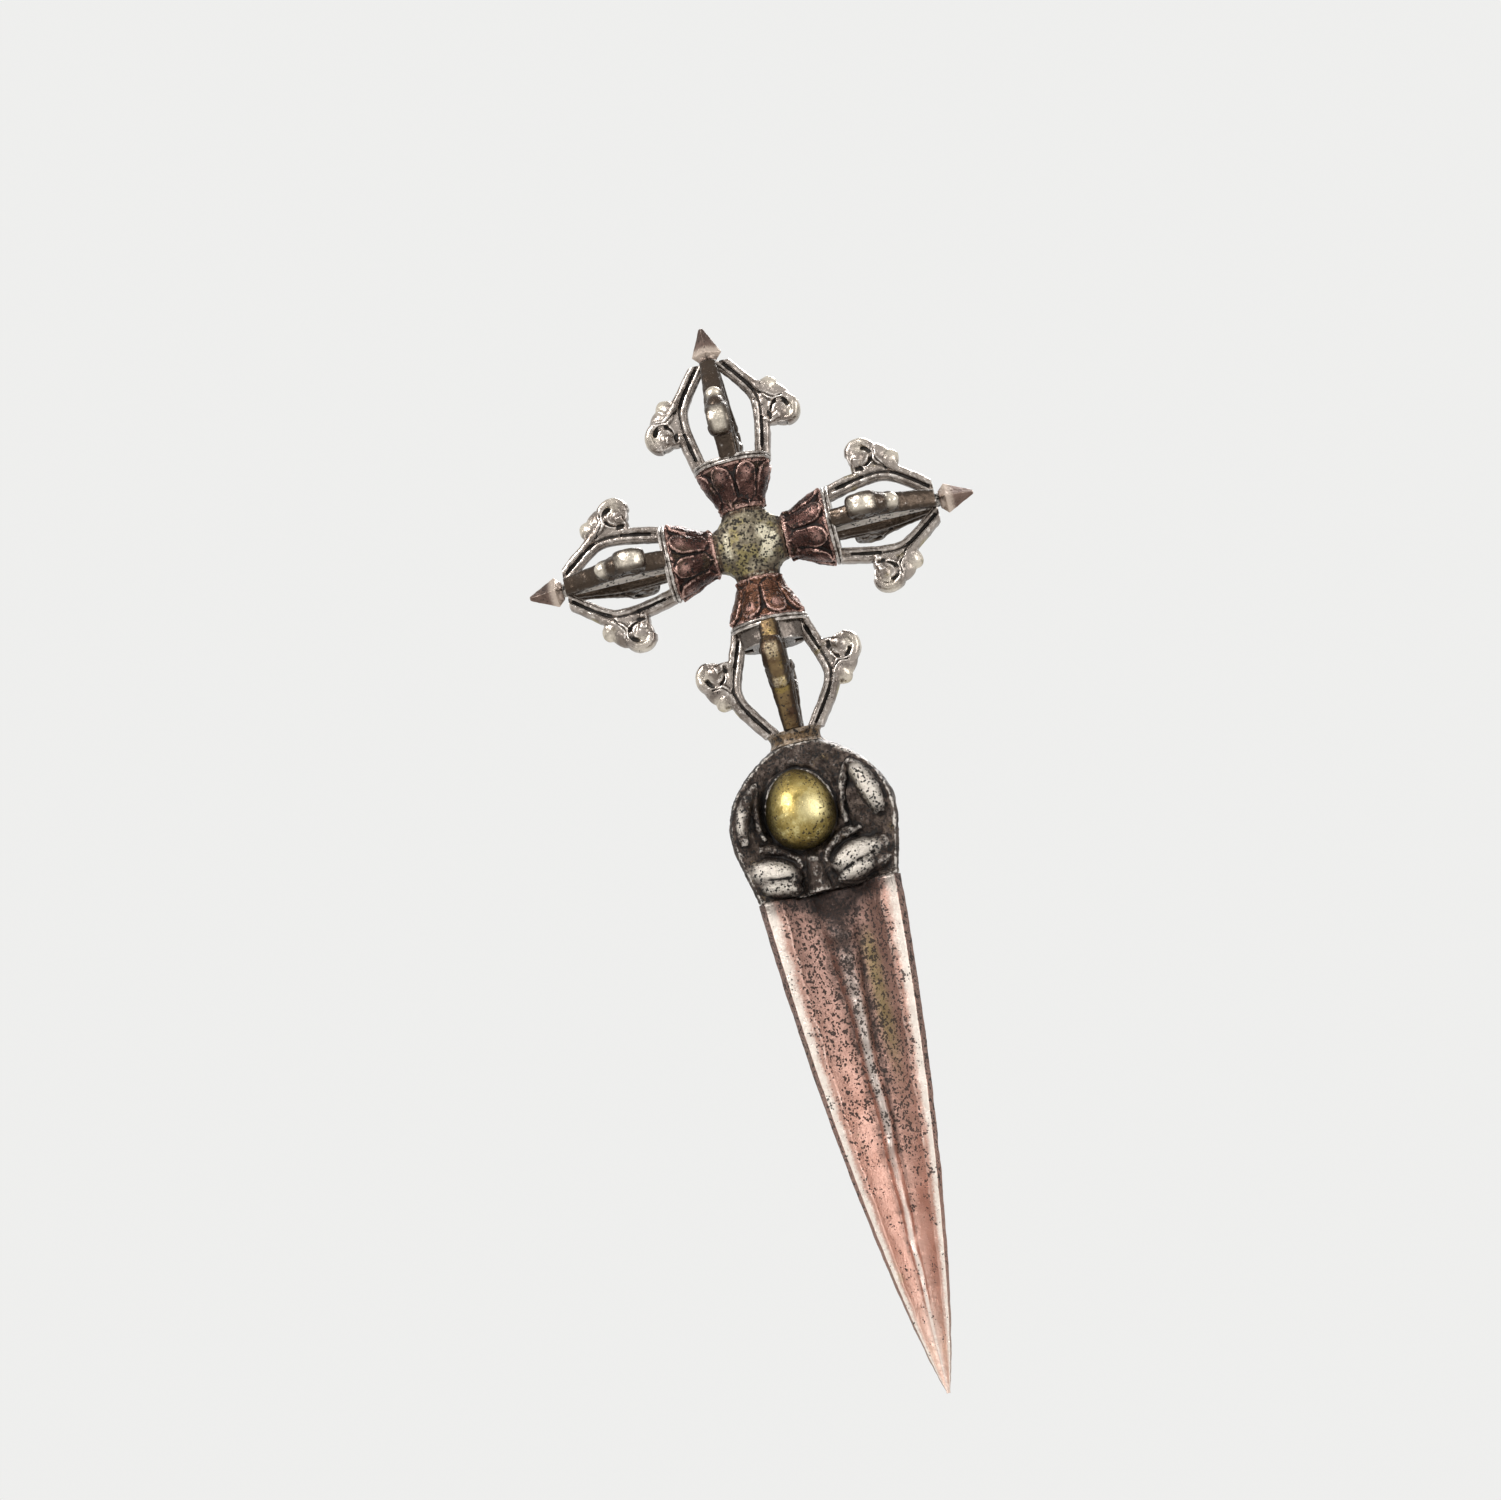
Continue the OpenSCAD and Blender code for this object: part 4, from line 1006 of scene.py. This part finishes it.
def makeJewel():
    piece = ball(1, (0, 0, 0), segments=jewel["segments"])
    points = readPoints(piece)
    points[:, :2] *= jewel["width"] / 2 * (1 - jewel["topSlim"] * points[:, 2:])
    points[:, 2] *= jewel["height"] / 2
    points += (-head["jewelShift"], -jewel["middle"], head["jewelZ"])
    writePoints(piece, points)
    flatBack = {"plane_co": (0, -jewel["seat"], 0), "plane_no": (0, 1, 0)}
    editWhole(piece, (bpy.ops.mesh.bisect, {**flatBack, "use_fill": True, "clear_outer": True}))
    return piece


jewelModel = makeJewel()
for place, turn in faceTurn.items():
    piece = copyOf(jewelModel)
    piece.data.transform(turnBy(turn))
    castLumps(piece, (2.2, 0.12), (0.5, 0.05))
    x, _, z = (readPoints(piece) @ turnTable(turn)).T  # seen from its own face
    z = z - head["jewelZ"]
    # painted highlight: a round bright spot just right of and below the dome's middle
    storeMark(piece, "bareAndHighlight", np.clip(1.35 - np.hypot(x - 0.4, z + 0.6) / 2.6, 0, 1))
    rimward = np.hypot((x + head["jewelShift"]) / jewel["width"], z / jewel["height"]) * 2
    # painted shade on the dome's upper left side, and patina darkening towards its rim
    shadeAndPatina = softStep(1.0, 4.6, -x - head["jewelShift"] * 0.5 + 0.35 * z)
    storeMark(piece, "shadeAndPatina", np.maximum(shadeAndPatina, softStep(0.72, 1.05, rimward)))
    storeMark(piece, "pitted", 0.05 + 0.85 * softStep(0.3, 0.95, rimward))
    markRelief(piece, 16, 0.12)
    smoothShade(piece, 40)
    settle(piece, "jewel" + place.title() + "Form", "jewel_" + place, metal["jewelBrass"])
bpy.data.objects.remove(jewelModel)
print("jewels made")

# neck ring, with a tenon down into the head
neck = {
    "low": 87.2, "top": 89.1, "radius": 3.7, "waist": 0.4,
    "tenon": 1.5, "tenonLow": 84.2, "tenonTop": 88.15,
}
profile = [(0, neck["low"])]
for t in np.linspace(0, 1, 15):
    reach = neck["radius"] - neck["waist"] * math.sin(math.pi * t)
    profile.append((reach, mixed(neck["low"], neck["top"], t)))
profile.append((0, neck["top"]))
neckPiece = turned(profile, 120)
castLumps(neckPiece, (1.8, 0.7), (0.6, 0.14))
keepBetween(neckPiece, 2, neck["low"], neck["top"])
neckPiece = joinAll([neckPiece, drum(neck["tenon"], neck["tenonLow"], neck["tenonTop"])])
markRelief(neckPiece, 10, 0.15)
markWhole(neckPiece, "gold", 0.75)
smoothShade(neckPiece)
settle(neckPiece, "neckForm", "neck_ring", metal["darkBronze"])

# hub: a pillow of pale brass with four hollowed corners
hub = {
    "half": 4.7, "dome": 6.6, "depth": 3.5, "cove": 1.85, "stub": 2.85, "tenon": 1.6, "tenonEnd": 7.7,
    "voxel": 0.11, "highlightReach": 1.3,
}


def crossed(radius, reach):  # an upright round bar and a level one, through the middle
    bars = [drum(radius, -reach, reach), drum(radius, -reach, reach)]
    bars[1].data.transform(turnBy(90, "Y"))
    return bars


def makeHub():
    bpy.ops.mesh.primitive_cube_add(size=2 * hub["half"])
    body = bpy.context.object
    for x in (-1, 1):
        for z in (-1, 1):
            tool = drum(hub["cove"], -8, 8)
            tool.data.transform(Matrix.Translation((x * hub["half"], 0, z * hub["half"])) @ turnBy(90, "X"))
            cutBy(body, tool)
    for y in (-1, 1):
        cutBy(body, ball(hub["dome"], (0, y * (hub["dome"] - hub["depth"]), 0), segments=96), "INTERSECT")
    body = joinAll([body] + crossed(hub["stub"], hub["half"]))
    meltTogether(body, hub["voxel"], 10)
    return body


hubPiece = makeHub()
castLumps(hubPiece, (1.6, 0.35), (0.45, 0.12))
points = readPoints(hubPiece)
# painted highlight: a pale patch on the right of the front, a weaker one on the left
rightSide = farFrom(points, [(2.2, -3.4, 1.2), (2.9, -3.2, -0.4), (2.0, -3.4, -2.2)])
leftSide = farFrom(points, [(-2.9, -2.8, 1.6), (-3.0, -2.8, -1.2)])
away = np.minimum(rightSide, 0.6 + leftSide)
storeMark(hubPiece, "bareAndHighlight", np.clip(1.5 - away / hub["highlightReach"], 0, 1))
# painted shade: darker towards the edges where the arms join
far = np.maximum(np.abs(points[:, 0]), np.abs(points[:, 2]))
storeMark(hubPiece, "shadeAndPatina", softStep(3.7, 4.5, far))
for axis in (0, 2):
    keepBetween(hubPiece, axis, -hub["half"], hub["half"])
hubPiece = joinAll([hubPiece] + crossed(hub["tenon"], hub["tenonEnd"]))
markRelief(hubPiece, 24, 0.3)
smoothShade(hubPiece)
settle(hubPiece, "hubForm", "hub", metal["hubBrass"], Matrix.Translation((0, 0, hubZ)))
print("hub made")

# lotus collars: eight convex petals with dark grooves between them
collar = {
    "low": 4.7, "length": 6.0, "small": 3.0, "wide": 5.0, "power": 1.35,
    "petals": 8, "fill": 0.9, "rise": 0.62, "groove": 0.14, "outline": 0.1, "roll": 0.24,
    "columns": 240, "rows": 72,
}


def makeCollar():
    shares = np.linspace(0, 1, collar["rows"])
    turns = np.linspace(0, 1, collar["columns"] + 1)
    across = np.abs((turns * collar["petals"]) % 1 * 2 - 1)[None, :]  # 0 in the middle of a petal
    tall = shares[:, None]
    reach = mixed(collar["small"], collar["wide"], tall ** collar["power"])
    cap = np.sqrt(np.clip(1 - np.clip((tall - 0.62) / 0.33, 0, 1) ** 2, 0, 1))
    width = collar["fill"] * cap * np.clip((tall - 0.1) / 0.12, 0.02, 1) + 1e-6
    share = across / width
    swell = 0.35 + 0.65 * softStep(0.2, 0.7, tall)
    bulge = np.sqrt(np.clip(1 - share**2, 0, 1)) * collar["rise"] * swell
    bulge = bulge - collar["groove"] * softStep(0.94, 1.06, share)
    bulge = bulge + collar["outline"] * swell * bell(share - 0.86, 0.08)  # raised line inside the petal's rim
    bulge = bulge + collar["roll"] * bell(tall - 0.07, 0.045)  # small roll by the hub
    radius = reach + bulge * np.clip(np.minimum(tall, 1 - tall) / 0.035, 0, 1)
    piece, order = closedGrid(radius, collar["low"] + collar["length"] * shares, collar["columns"])
    # painted highlight on the upper middle of each petal
    shine = bell(across, 0.5) * bell(tall - 0.72, 0.16)
    markGrid(piece, order, "bareAndHighlight", np.pad(shine, ((1, 1), (0, 0))))
    sealMesh(piece)
    useModifier(piece, "SMOOTH", factor=0.35, iterations=1)
    return piece


collarModel = makeCollar()
for arm in armTurn:
    piece = copyOf(collarModel)
    piece.data.transform(onArm(arm))
    castLumps(piece, (1.1, 0.34), (0.4, 0.08))
    markWhole(piece, "rust", float(arm == "bottom"))
    markRelief(piece, 16, 0.2)
    smoothShade(piece)
    settle(piece, arm + "CollarForm", arm + "_collar", metal["collarCopper"])
bpy.data.objects.remove(collarModel)
print("collars made")

# rim plates, with a worn groove round their edge
rim = {"low": 10.7, "top": 11.7, "radius": 5.3, "bead": 0.26}
spigot = {
    "foot": rim["top"] - 0.1, "top": rim["top"] + 2.3, "radius": 4.45, "core": 2.9,
    "slotWidth": 2.5, "slotMiddle": rim["top"] + 1.5, "slotHeight": 3.0, "voxel": 0.13,
    "pin": 0.9, "pinLow": 8.7, "pinTop": 11.2,
}


def makeRim():
    radius, bead = rim["radius"], rim["bead"]
    profile = [(0, rim["low"]), (radius - 0.45, rim["low"]), (radius - 0.2, rim["low"] + 0.03)]
    for middle in (rim["low"] + bead, rim["top"] - bead):  # a bead, the groove, and the other bead
        for a in np.radians(np.linspace(-70, 70, 7)):
            profile.append((radius - bead + bead * math.cos(a), middle + bead * math.sin(a)))
        if middle < rim["top"] - bead:
            profile.append((radius - 0.25, rim["low"] + 0.5))
    profile += [(radius - 0.25, rim["top"] - 0.01), (radius - 0.8, rim["top"]), (0, rim["top"])]
    return turned(profile, 144)


def makeSpigot():  # the lowest rim's slotted spigot, round a core
    piece = drum(spigot["radius"], spigot["foot"], spigot["top"], vertices=96)
    for turn in (0, 90):
        bpy.ops.mesh.primitive_cube_add(size=1)
        tool = bpy.context.object
        slot = Matrix.Diagonal((12, spigot["slotWidth"], spigot["slotHeight"], 1))
        tool.data.transform(turnBy(turn) @ Matrix.Translation((0, 0, spigot["slotMiddle"])) @ slot)
        cutBy(piece, tool)
    piece = joinAll([piece, drum(spigot["core"], spigot["foot"], spigot["top"], vertices=96)])
    meltTogether(piece, spigot["voxel"], 3)
    castLumps(piece, (1.0, 0.2))
    keepBetween(piece, 2, spigot["foot"], spigot["top"])
    return piece


rimModel = makeRim()
for arm in armTurn:
    piece = copyOf(rimModel)
    castLumps(piece, (0.9, 0.12))
    keepBetween(piece, 2, rim["low"], rim["top"])
    points = readPoints(piece)
    over = np.maximum(np.hypot(points[:, 0], points[:, 1]) / rim["radius"], 1)
    points[:, :2] /= over[:, None]
    writePoints(piece, points)
    if arm == "bottom":
        piece = joinAll([piece, makeSpigot(), drum(spigot["pin"], spigot["pinLow"], spigot["pinTop"])])
    piece.data.transform(onArm(arm))
    markRelief(piece, 8, 0.27)
    markWhole(piece, "rimTone", 1.0)
    smoothShade(piece, 50)
    settle(piece, arm + "RimForm", arm + "_rim", metal["whiteCopper"])
bpy.data.objects.remove(rimModel)
print("rims made")

# pins and points of the free arms
tip = {
    "base": 25.9, "shoulder": 26.8, "end": 30.5, "half": 1.95, "waist": 1.209, "point": 0.3,
    "swell": 1.28, "core": 1.25, "coreHeight": 0.55, "voxel": 0.075,
}
pin = {"radius": 0.9, "low": 8.7, "top": 27.9, "bevel": 0.05}


def squareCone(low, high, footRadius, topRadius):
    bpy.ops.mesh.primitive_cone_add(
        vertices=4, radius1=footRadius, radius2=topRadius, depth=high - low, location=(0, 0, (high + low) / 2)
    )
    piece = bpy.context.object
    fixTransform(piece)
    return piece


def makeTip():
    spike = squareCone(tip["shoulder"], tip["end"], tip["half"] + 0.12, tip["point"])
    foot = squareCone(tip["base"], tip["shoulder"], tip["waist"], tip["half"] + 0.1)
    swell = ball(1, (0, 0, tip["shoulder"] + 0.45), (tip["swell"], tip["swell"], 1.35))
    piece = joinAll([spike, foot, swell, drum(tip["core"], tip["base"], tip["base"] + tip["coreHeight"])])
    meltTogether(piece, tip["voxel"], 6)
    keepBetween(piece, 2, tip["base"], tip["end"])
    # painted highlight: a bright band round the shoulder
    storeMark(piece, "bareAndHighlight", bell(readPoints(piece)[:, 2] - tip["shoulder"] - 0.1, 1.0))
    return piece


tipModel = makeTip()
pinModel = drum(pin["radius"], pin["low"], pin["top"], vertices=40)
editWhole(pinModel, (bpy.ops.mesh.bevel, {"offset": pin["bevel"], "segments": 1}))
for arm in ("top", "right", "left"):
    piece = copyOf(tipModel)
    piece.data.transform(onArm(arm))
    castLumps(piece, (1.1, 0.14))
    markRelief(piece, 12, 0.14)
    smoothShade(piece)
    settle(piece, arm + "TipForm", arm + "_tip", metal["tipCopper"])
    piece = copyOf(pinModel)
    markRelief(piece, 3, 0.2)
    smoothShade(piece, 40)
    settle(piece, arm + "PinForm", arm + "_pin", metal["darkBronze"], onArm(arm))
bpy.data.objects.remove(tipModel)
bpy.data.objects.remove(pinModel)
print("points and pins made")

# prongs: two ridges side by side, the outer one curling out into a ball, with a leaf from the tip round it
prong = {
    "width": 2.1, "ridge": 0.58, "thick": 1.2, "endShare": 0.92, "bedHalf": 0.62, "bedThick": 0.92,
    "ball": 1.2, "leafRim": 0.6, "scrollRadius": 2.35, "discRadius": 1.85, "side": 1.3,
    "webThick": 1.1, "ovalPower": 0.75, "voxel": 0.1, "lineWidth": 0.2, "lineDepth": 0.52,
    "foot": 11.25, "freeEnd": 25.4, "kneeAcross": 5.1, "sideKnee": 20.33, "depthKnee": 19.03,
    "lowEnd": 26.0, "lowScroll": (8.86, 16.32), "lowLobe": (7.40, 19.82),
}
scored = {"hook": (1.15, 1.0), "seam": (0.85, 0.45), "vein": (0.7, 0.45)}  # shares of width and depth


def freeLine(knee):  # two sweeps of four points each, from the rim out to the knee and back in to the end
    low, end, across = rim["top"], prong["freeEnd"], prong["kneeAcross"]
    return (
        [[4.2, 11.1], [5.016, mixed(low, knee, 0.36)], [5.916, mixed(low, knee, 0.79)], [across, knee]],
        [[across, knee], [4.386, mixed(knee, end, 0.32)], [2.652, mixed(knee, end, 0.73)],
         [1.35, mixed(knee, end, 1.05)]],
    )


lowLine = (  # the same for the lowest cage, whose prongs are longer
    [[4.2, 11.1], [4.86, 14.13], [6.80, 17.42], [6.6, 19.42]],
    [[6.6, 19.42], [6.40, 21.42], [3.96, 24.14], [2.40, 26.57]],
)


def ovalSection(half, thick):  # blunt oval, wider than an ellipse
    ring, power = [], prong["ovalPower"]
    for t in np.linspace(0, 2 * math.pi, 20, endpoint=False):
        c, s = math.cos(t), math.sin(t)
        ring.append((half * math.copysign(abs(c) ** power, c), thick * math.copysign(abs(s) ** power, s)))
    return ring


def besideLine(line, shift, low, high):  # the prong's middle line moved out, over a part of its run
    points = []
    for sweep in (0, 1):
        for t in np.linspace(0, 1, 14):
            here = bezierAt(line[sweep], t)
            ahead = bezierAt(line[sweep], min(t + 0.01, 1)) - bezierAt(line[sweep], max(t - 0.01, 0))
            out = np.array((ahead[1], -ahead[0])) / np.linalg.norm(ahead)
            if sweep + t != 1 or sweep == 0:
                points.append((sweep + t, here + out * shift))
    return [place for at, place in points if low <= at <= high]


def makeWeb(outline):  # flat plate that fills the scroll
    count = len(outline)
    sides = [[i, (i + 1) % count, count + (i + 1) % count, count + i] for i in range(count)]
    plate = bpy.data.meshes.new("web")
    plate.from_pydata(
        [(*place, z) for z in (-prong["webThick"], prong["webThick"]) for place in outline], [],
        [list(range(count))[::-1], list(range(count, 2 * count))] + sides,
    )
    web = bpy.data.objects.new("web", plate)
    bpy.context.collection.objects.link(web)
    sealMesh(web)
    return web


def markProng(piece, upper, middle, off):
    points = readPoints(piece)

    def away(place):
        return np.linalg.norm(points - place, axis=1)

    storeMark(piece, "gold", bell(np.minimum(away((*upper, 0)), 0.5 + away(off(1.2, 1.0))), 1.2))
    # painted highlight on the outer side of the scroll and beside the lobe
    outward = np.minimum(away((middle[0] + 1.6, middle[1], 0)) / 2.2, away(off(1.1, 0.6)) / 1.9)
    storeMark(piece, "bareAndHighlight", np.clip(1.5 - outward, 0, 1))
    # painted shade on the prong's sides, darker away from its middle plane
    storeMark(piece, "shadeAndPatina", softStep(0.4, 1.15, np.abs(points[:, 2])))


def makeProng(line, scroll, lobe, end):
    middle, lobe = np.array(scroll), np.array(lobe)
    section = ovalSection(prong["ridge"], prong["thick"])
    shift = prong["width"] / 2 - prong["ridge"] + 0.02

    def around(radius, degrees):  # a place round the scroll's middle
        return middle + radius * np.array((math.cos(math.radians(degrees)), math.sin(math.radians(degrees))))

    def off(x, y):  # a place beside the lobe, in the prong's middle plane
        return (lobe[0] + x, lobe[1] + y, 0)

    def alongRun(way, shape):
        return bar(way, shape, np.linspace(1, prong["endShare"], len(way)))

    inner = alongRun(besideLine(line, -shift, 0, 2), section)
    bed = alongRun(besideLine(line, 0, 0, 2), ovalSection(prong["bedHalf"], prong["bedThick"]))
    foot = besideLine(line, shift, 0, 0.5)
    outer = smoothLine(foot[::2] + [around(1.8, 212), around(1.3, 216), around(0.8, 228)], 40)
    outer = bar(outer, section, np.interp(np.arange(40), [0, 26, 39], [1, 1.1, 1.5]))
    fromTip = besideLine(line, shift, 1.22, 2)[::-1]
    rimReach = prong["scrollRadius"] - prong["leafRim"] - 0.04
    curl = [around(prong["scrollRadius"], 118)] + [around(rimReach, turn) for turn in (84, 50, 15, -20)]
    curl += [around(rimReach - 0.05, -52), around(rimReach - 0.2, -80)]
    leaf = smoothLine(fromTip[::3] + curl, 64)
    leaf = bar(leaf, section, np.interp(np.arange(64), [0, 26, 40, 63], [0.95, 1.15, 1.38, 1.2]))
    knob = ball(prong["ball"], (*around(0.5, 238), 0), (1.1, 1.1, 1.32))
    disc = drum(prong["discRadius"], -prong["side"], prong["side"], tuple(middle))
    cheek = ball(1, (*(mixed(middle, lobe, 0.45) + (0.35, 0.25)), 0), (2.3, 1.85, 1.4), (0, 0, -60))
    bud = ball(1, off(0.3, -0.3), (1.9, 1.4, 1.4), (0, 0, 45))
    point = rod([off(0.3, 0), off(0.95, 0.6), off(1.45, 1.1)], (1.2, 0.95, 0.25))
    web = makeWeb([
        bezierAt(line[0], 0.55) + (-0.2, 0), bezierAt(line[0], 1) + (0, 0.2), bezierAt(line[1], 0.35) + (0.1, 0),
        lobe + (0.5, 0.6), around(2.1, 80), around(2.1, 0), around(1.7, -70), around(2.0, 215),
    ])
    piece = joinAll([inner, bed, outer, leaf, knob, disc, cheek, bud, point, web])
    meltTogether(piece, prong["voxel"], 2)
    hookTurns = ((2.1, 208), (1.75, 180), (1.5, 140), (1.35, 100), (1.15, 62), (0.95, 28))
    lines = {
        "hook": [around(*turn) for turn in hookTurns],
        "seam": besideLine(line, 0.0, 0.1, 1.9),
        "vein": [besideLine(line, 0.35, 0.9, 1)[0], lobe + (-0.5, -0.9), around(1.9, 112), around(2.0, 78)],
    }
    for side in (-prong["side"], prong["side"]):
        for name, (width, depth) in scored.items():
            way = [(*place, side) for place in smoothLine(lines[name], 40)]
            carveFlat(piece, way, prong["lineWidth"] * width, prong["lineDepth"] * depth)
    keepBetween(piece, 1, prong["foot"], end)
    markProng(piece, besideLine(line, prong["width"] / 2 + 0.3, 1.25, 1.45)[0], middle, off)
    piece.data.transform(turnBy(90, "X"))  # the arm runs up, the scroll looks out
    return piece


def freeProng(knee):  # the scroll and the lobe sit by the knee, in shares of the scroll's radius
    reach, across = prong["scrollRadius"], prong["kneeAcross"]
    scroll = (across + 1.34 * reach, knee - 1.42 * reach)
    lobe = (across + 0.55 * reach, knee + 0.13 * reach)
    return makeProng(freeLine(knee), scroll, lobe, prong["freeEnd"])


sideModel = freeProng(prong["sideKnee"])
depthModel = freeProng(prong["depthKnee"])
lowModel = makeProng(lowLine, prong["lowScroll"], prong["lowLobe"], prong["lowEnd"])
spins = {
    "top": {"front": -90, "back": 90, "right": 0, "left": 180},
    "right": {"front": -90, "back": 90, "upper": 180, "lower": 0},
    "bottom": {"front": -90, "back": 90, "right": 180, "left": 0},
    "left": {"front": -90, "back": 90, "upper": 0, "lower": 180},
}
for arm, places in spins.items():
    for place, spin in places.items():
        deep = place in ("front", "back")
        model = lowModel if arm == "bottom" else depthModel if deep else sideModel
        piece = copyOf(model)
        piece.data.transform(onArm(arm, spin))
        castLumps(piece, (1.3, 0.2))
        markRelief(piece, 14, 0.22)
        # painted dark reflection: the front and back prongs darker all over
        markWhole(piece, "darkReflection", float(deep))
        # front and back prongs lose the gold, side prongs the painted shade on their sides
        markWhole(piece, "gold" if deep else "shadeAndPatina", 0.0)
        smoothShade(piece)
        brass = arm == "bottom" and place == "front"
        look = metal["prongBrass" if brass else "whiteCopper"]
        settle(piece, arm + place.title() + "ProngForm", arm + "_prong_" + place, look)
for model in (sideModel, depthModel, lowModel):
    bpy.data.objects.remove(model)
print("prongs made")

# stage: a pale floor well below the tip, a pale surround, three soft lamps
stage = {
    "floorZ": -0.14, "floorRadius": 4.0, "floorThick": 0.02,
    "floorColour": (0.7, 0.7, 0.69), "floorRoughness": 0.9,
    "fadeFrom": 0.3, "fadeTo": 1.0, "background": (0.86, 0.86, 0.85), "light": 0.5,
}


def blendShaders(tree, share, near, far, output):
    blend = tree.nodes.new("ShaderNodeMixShader")
    feed(tree, share, blend.inputs[0])
    feed(tree, near.outputs[0], blend.inputs[1])
    feed(tree, far.outputs[0], blend.inputs[2])
    feed(tree, blend.outputs[0], tree.nodes[output].inputs["Surface"])


def makeFloorPaper():  # near the piece the floor takes its shadow, far off it fades into the surround
    material = bpy.data.materials.new("floorPaper")
    material.use_nodes = True
    tree = material.node_tree
    paper = tree.nodes["Principled BSDF"]
    feed(tree, stage["floorColour"], paper.inputs["Base Color"])
    feed(tree, stage["floorRoughness"], paper.inputs["Roughness"])
    surround = tree.nodes.new("ShaderNodeEmission")
    feed(tree, stage["background"], surround.inputs["Color"])
    away = tree.nodes.new("ShaderNodeVectorMath")
    away.operation = "LENGTH"
    feed(tree, tree.nodes.new("ShaderNodeTexCoord").outputs["Object"], away.inputs[0])
    fade = rangeNode(tree, away.outputs["Value"], stage["fadeFrom"], stage["fadeTo"])
    seen = tree.nodes.new("ShaderNodeLightPath").outputs["Is Camera Ray"]
    blendShaders(tree, times(tree, seen, fade), paper, surround, "Material Output")
    return material


bpy.ops.mesh.primitive_cylinder_add(
    vertices=96, radius=stage["floorRadius"], depth=stage["floorThick"],
    location=(0, 0, stage["floorZ"] - stage["floorThick"] / 2),
)
floor = bpy.context.object
floor.name = "floor"
floor.data.materials.append(makeFloorPaper())

# the surround lights the piece softly, and looks pale to the camera and in the metal
world = bpy.data.worlds.new("paleRoom")
scene.world = world
world.use_nodes = True
tree = world.node_tree
soft = tree.nodes["Background"]
feed(tree, (1, 1, 1), soft.inputs["Color"])
feed(tree, stage["light"], soft.inputs["Strength"])
pale = tree.nodes.new("ShaderNodeBackground")
feed(tree, stage["background"], pale.inputs["Color"])
ray = tree.nodes.new("ShaderNodeLightPath").outputs
seen = mathNode(tree, "MAXIMUM", ray["Is Glossy Ray"], ray["Is Transmission Ray"])
blendShaders(tree, mathNode(tree, "MAXIMUM", ray["Is Camera Ray"], seen), soft, pale, "World Output")

lamps = {
    "key": {"at": (-0.55, -0.75, 0.75), "size": 0.45, "power": 9.0},
    "fill": {"at": (0.9, -0.6, 0.2), "size": 0.7, "power": 3.5},
    "rim": {"at": (0.3, 0.8, 0.7), "size": 0.4, "power": 6.0},
}
lampTarget = 0.09
for name, look in lamps.items():
    bpy.ops.object.light_add(type="AREA", location=look["at"])
    lamp = bpy.context.object
    lamp.name = name + "Lamp"
    lamp.data.shape = "DISK"
    lamp.data.size = look["size"]
    lamp.data.energy = look["power"]
    lamp.rotation_euler = (Vector((0, 0, lampTarget)) - lamp.location).to_track_quat("-Z", "Y").to_euler()

# camera: the photograph looks slightly up at the piece, which leans to the left in the frame
view = {
    "turn": 3.0, "rise": -9.0, "roll": -13.05, "target": 75.0, "across": -9.0, "up": 11.25, "away": 600.0,
    "lens": 108.8, "sensor": 36,
}
turn, rise, roll = (math.radians(view[key]) for key in ("turn", "rise", "roll"))
back = Vector((math.sin(turn) * math.cos(rise), -math.cos(turn) * math.cos(rise), math.sin(rise)))
right = (-back).cross(Vector((0, 0, 1))).normalized()
up = right.cross(-back)
across = right * math.cos(roll) + up * math.sin(roll)
upward = -right * math.sin(roll) + up * math.cos(roll)
place = Vector((0, 0, view["target"])) + across * view["across"] + upward * view["up"] + back * view["away"]
place *= millimetre
bpy.ops.object.camera_add(location=place)
camera = bpy.context.object
camera.rotation_euler = Matrix((across, upward, back)).transposed().to_euler()
camera.data.lens = view["lens"]
camera.data.sensor_width = view["sensor"]
camera.data.clip_start = 0.01
camera.data.clip_end = 50
scene.camera = camera
scene.view_settings.view_transform = "Standard"
print("stage ready")

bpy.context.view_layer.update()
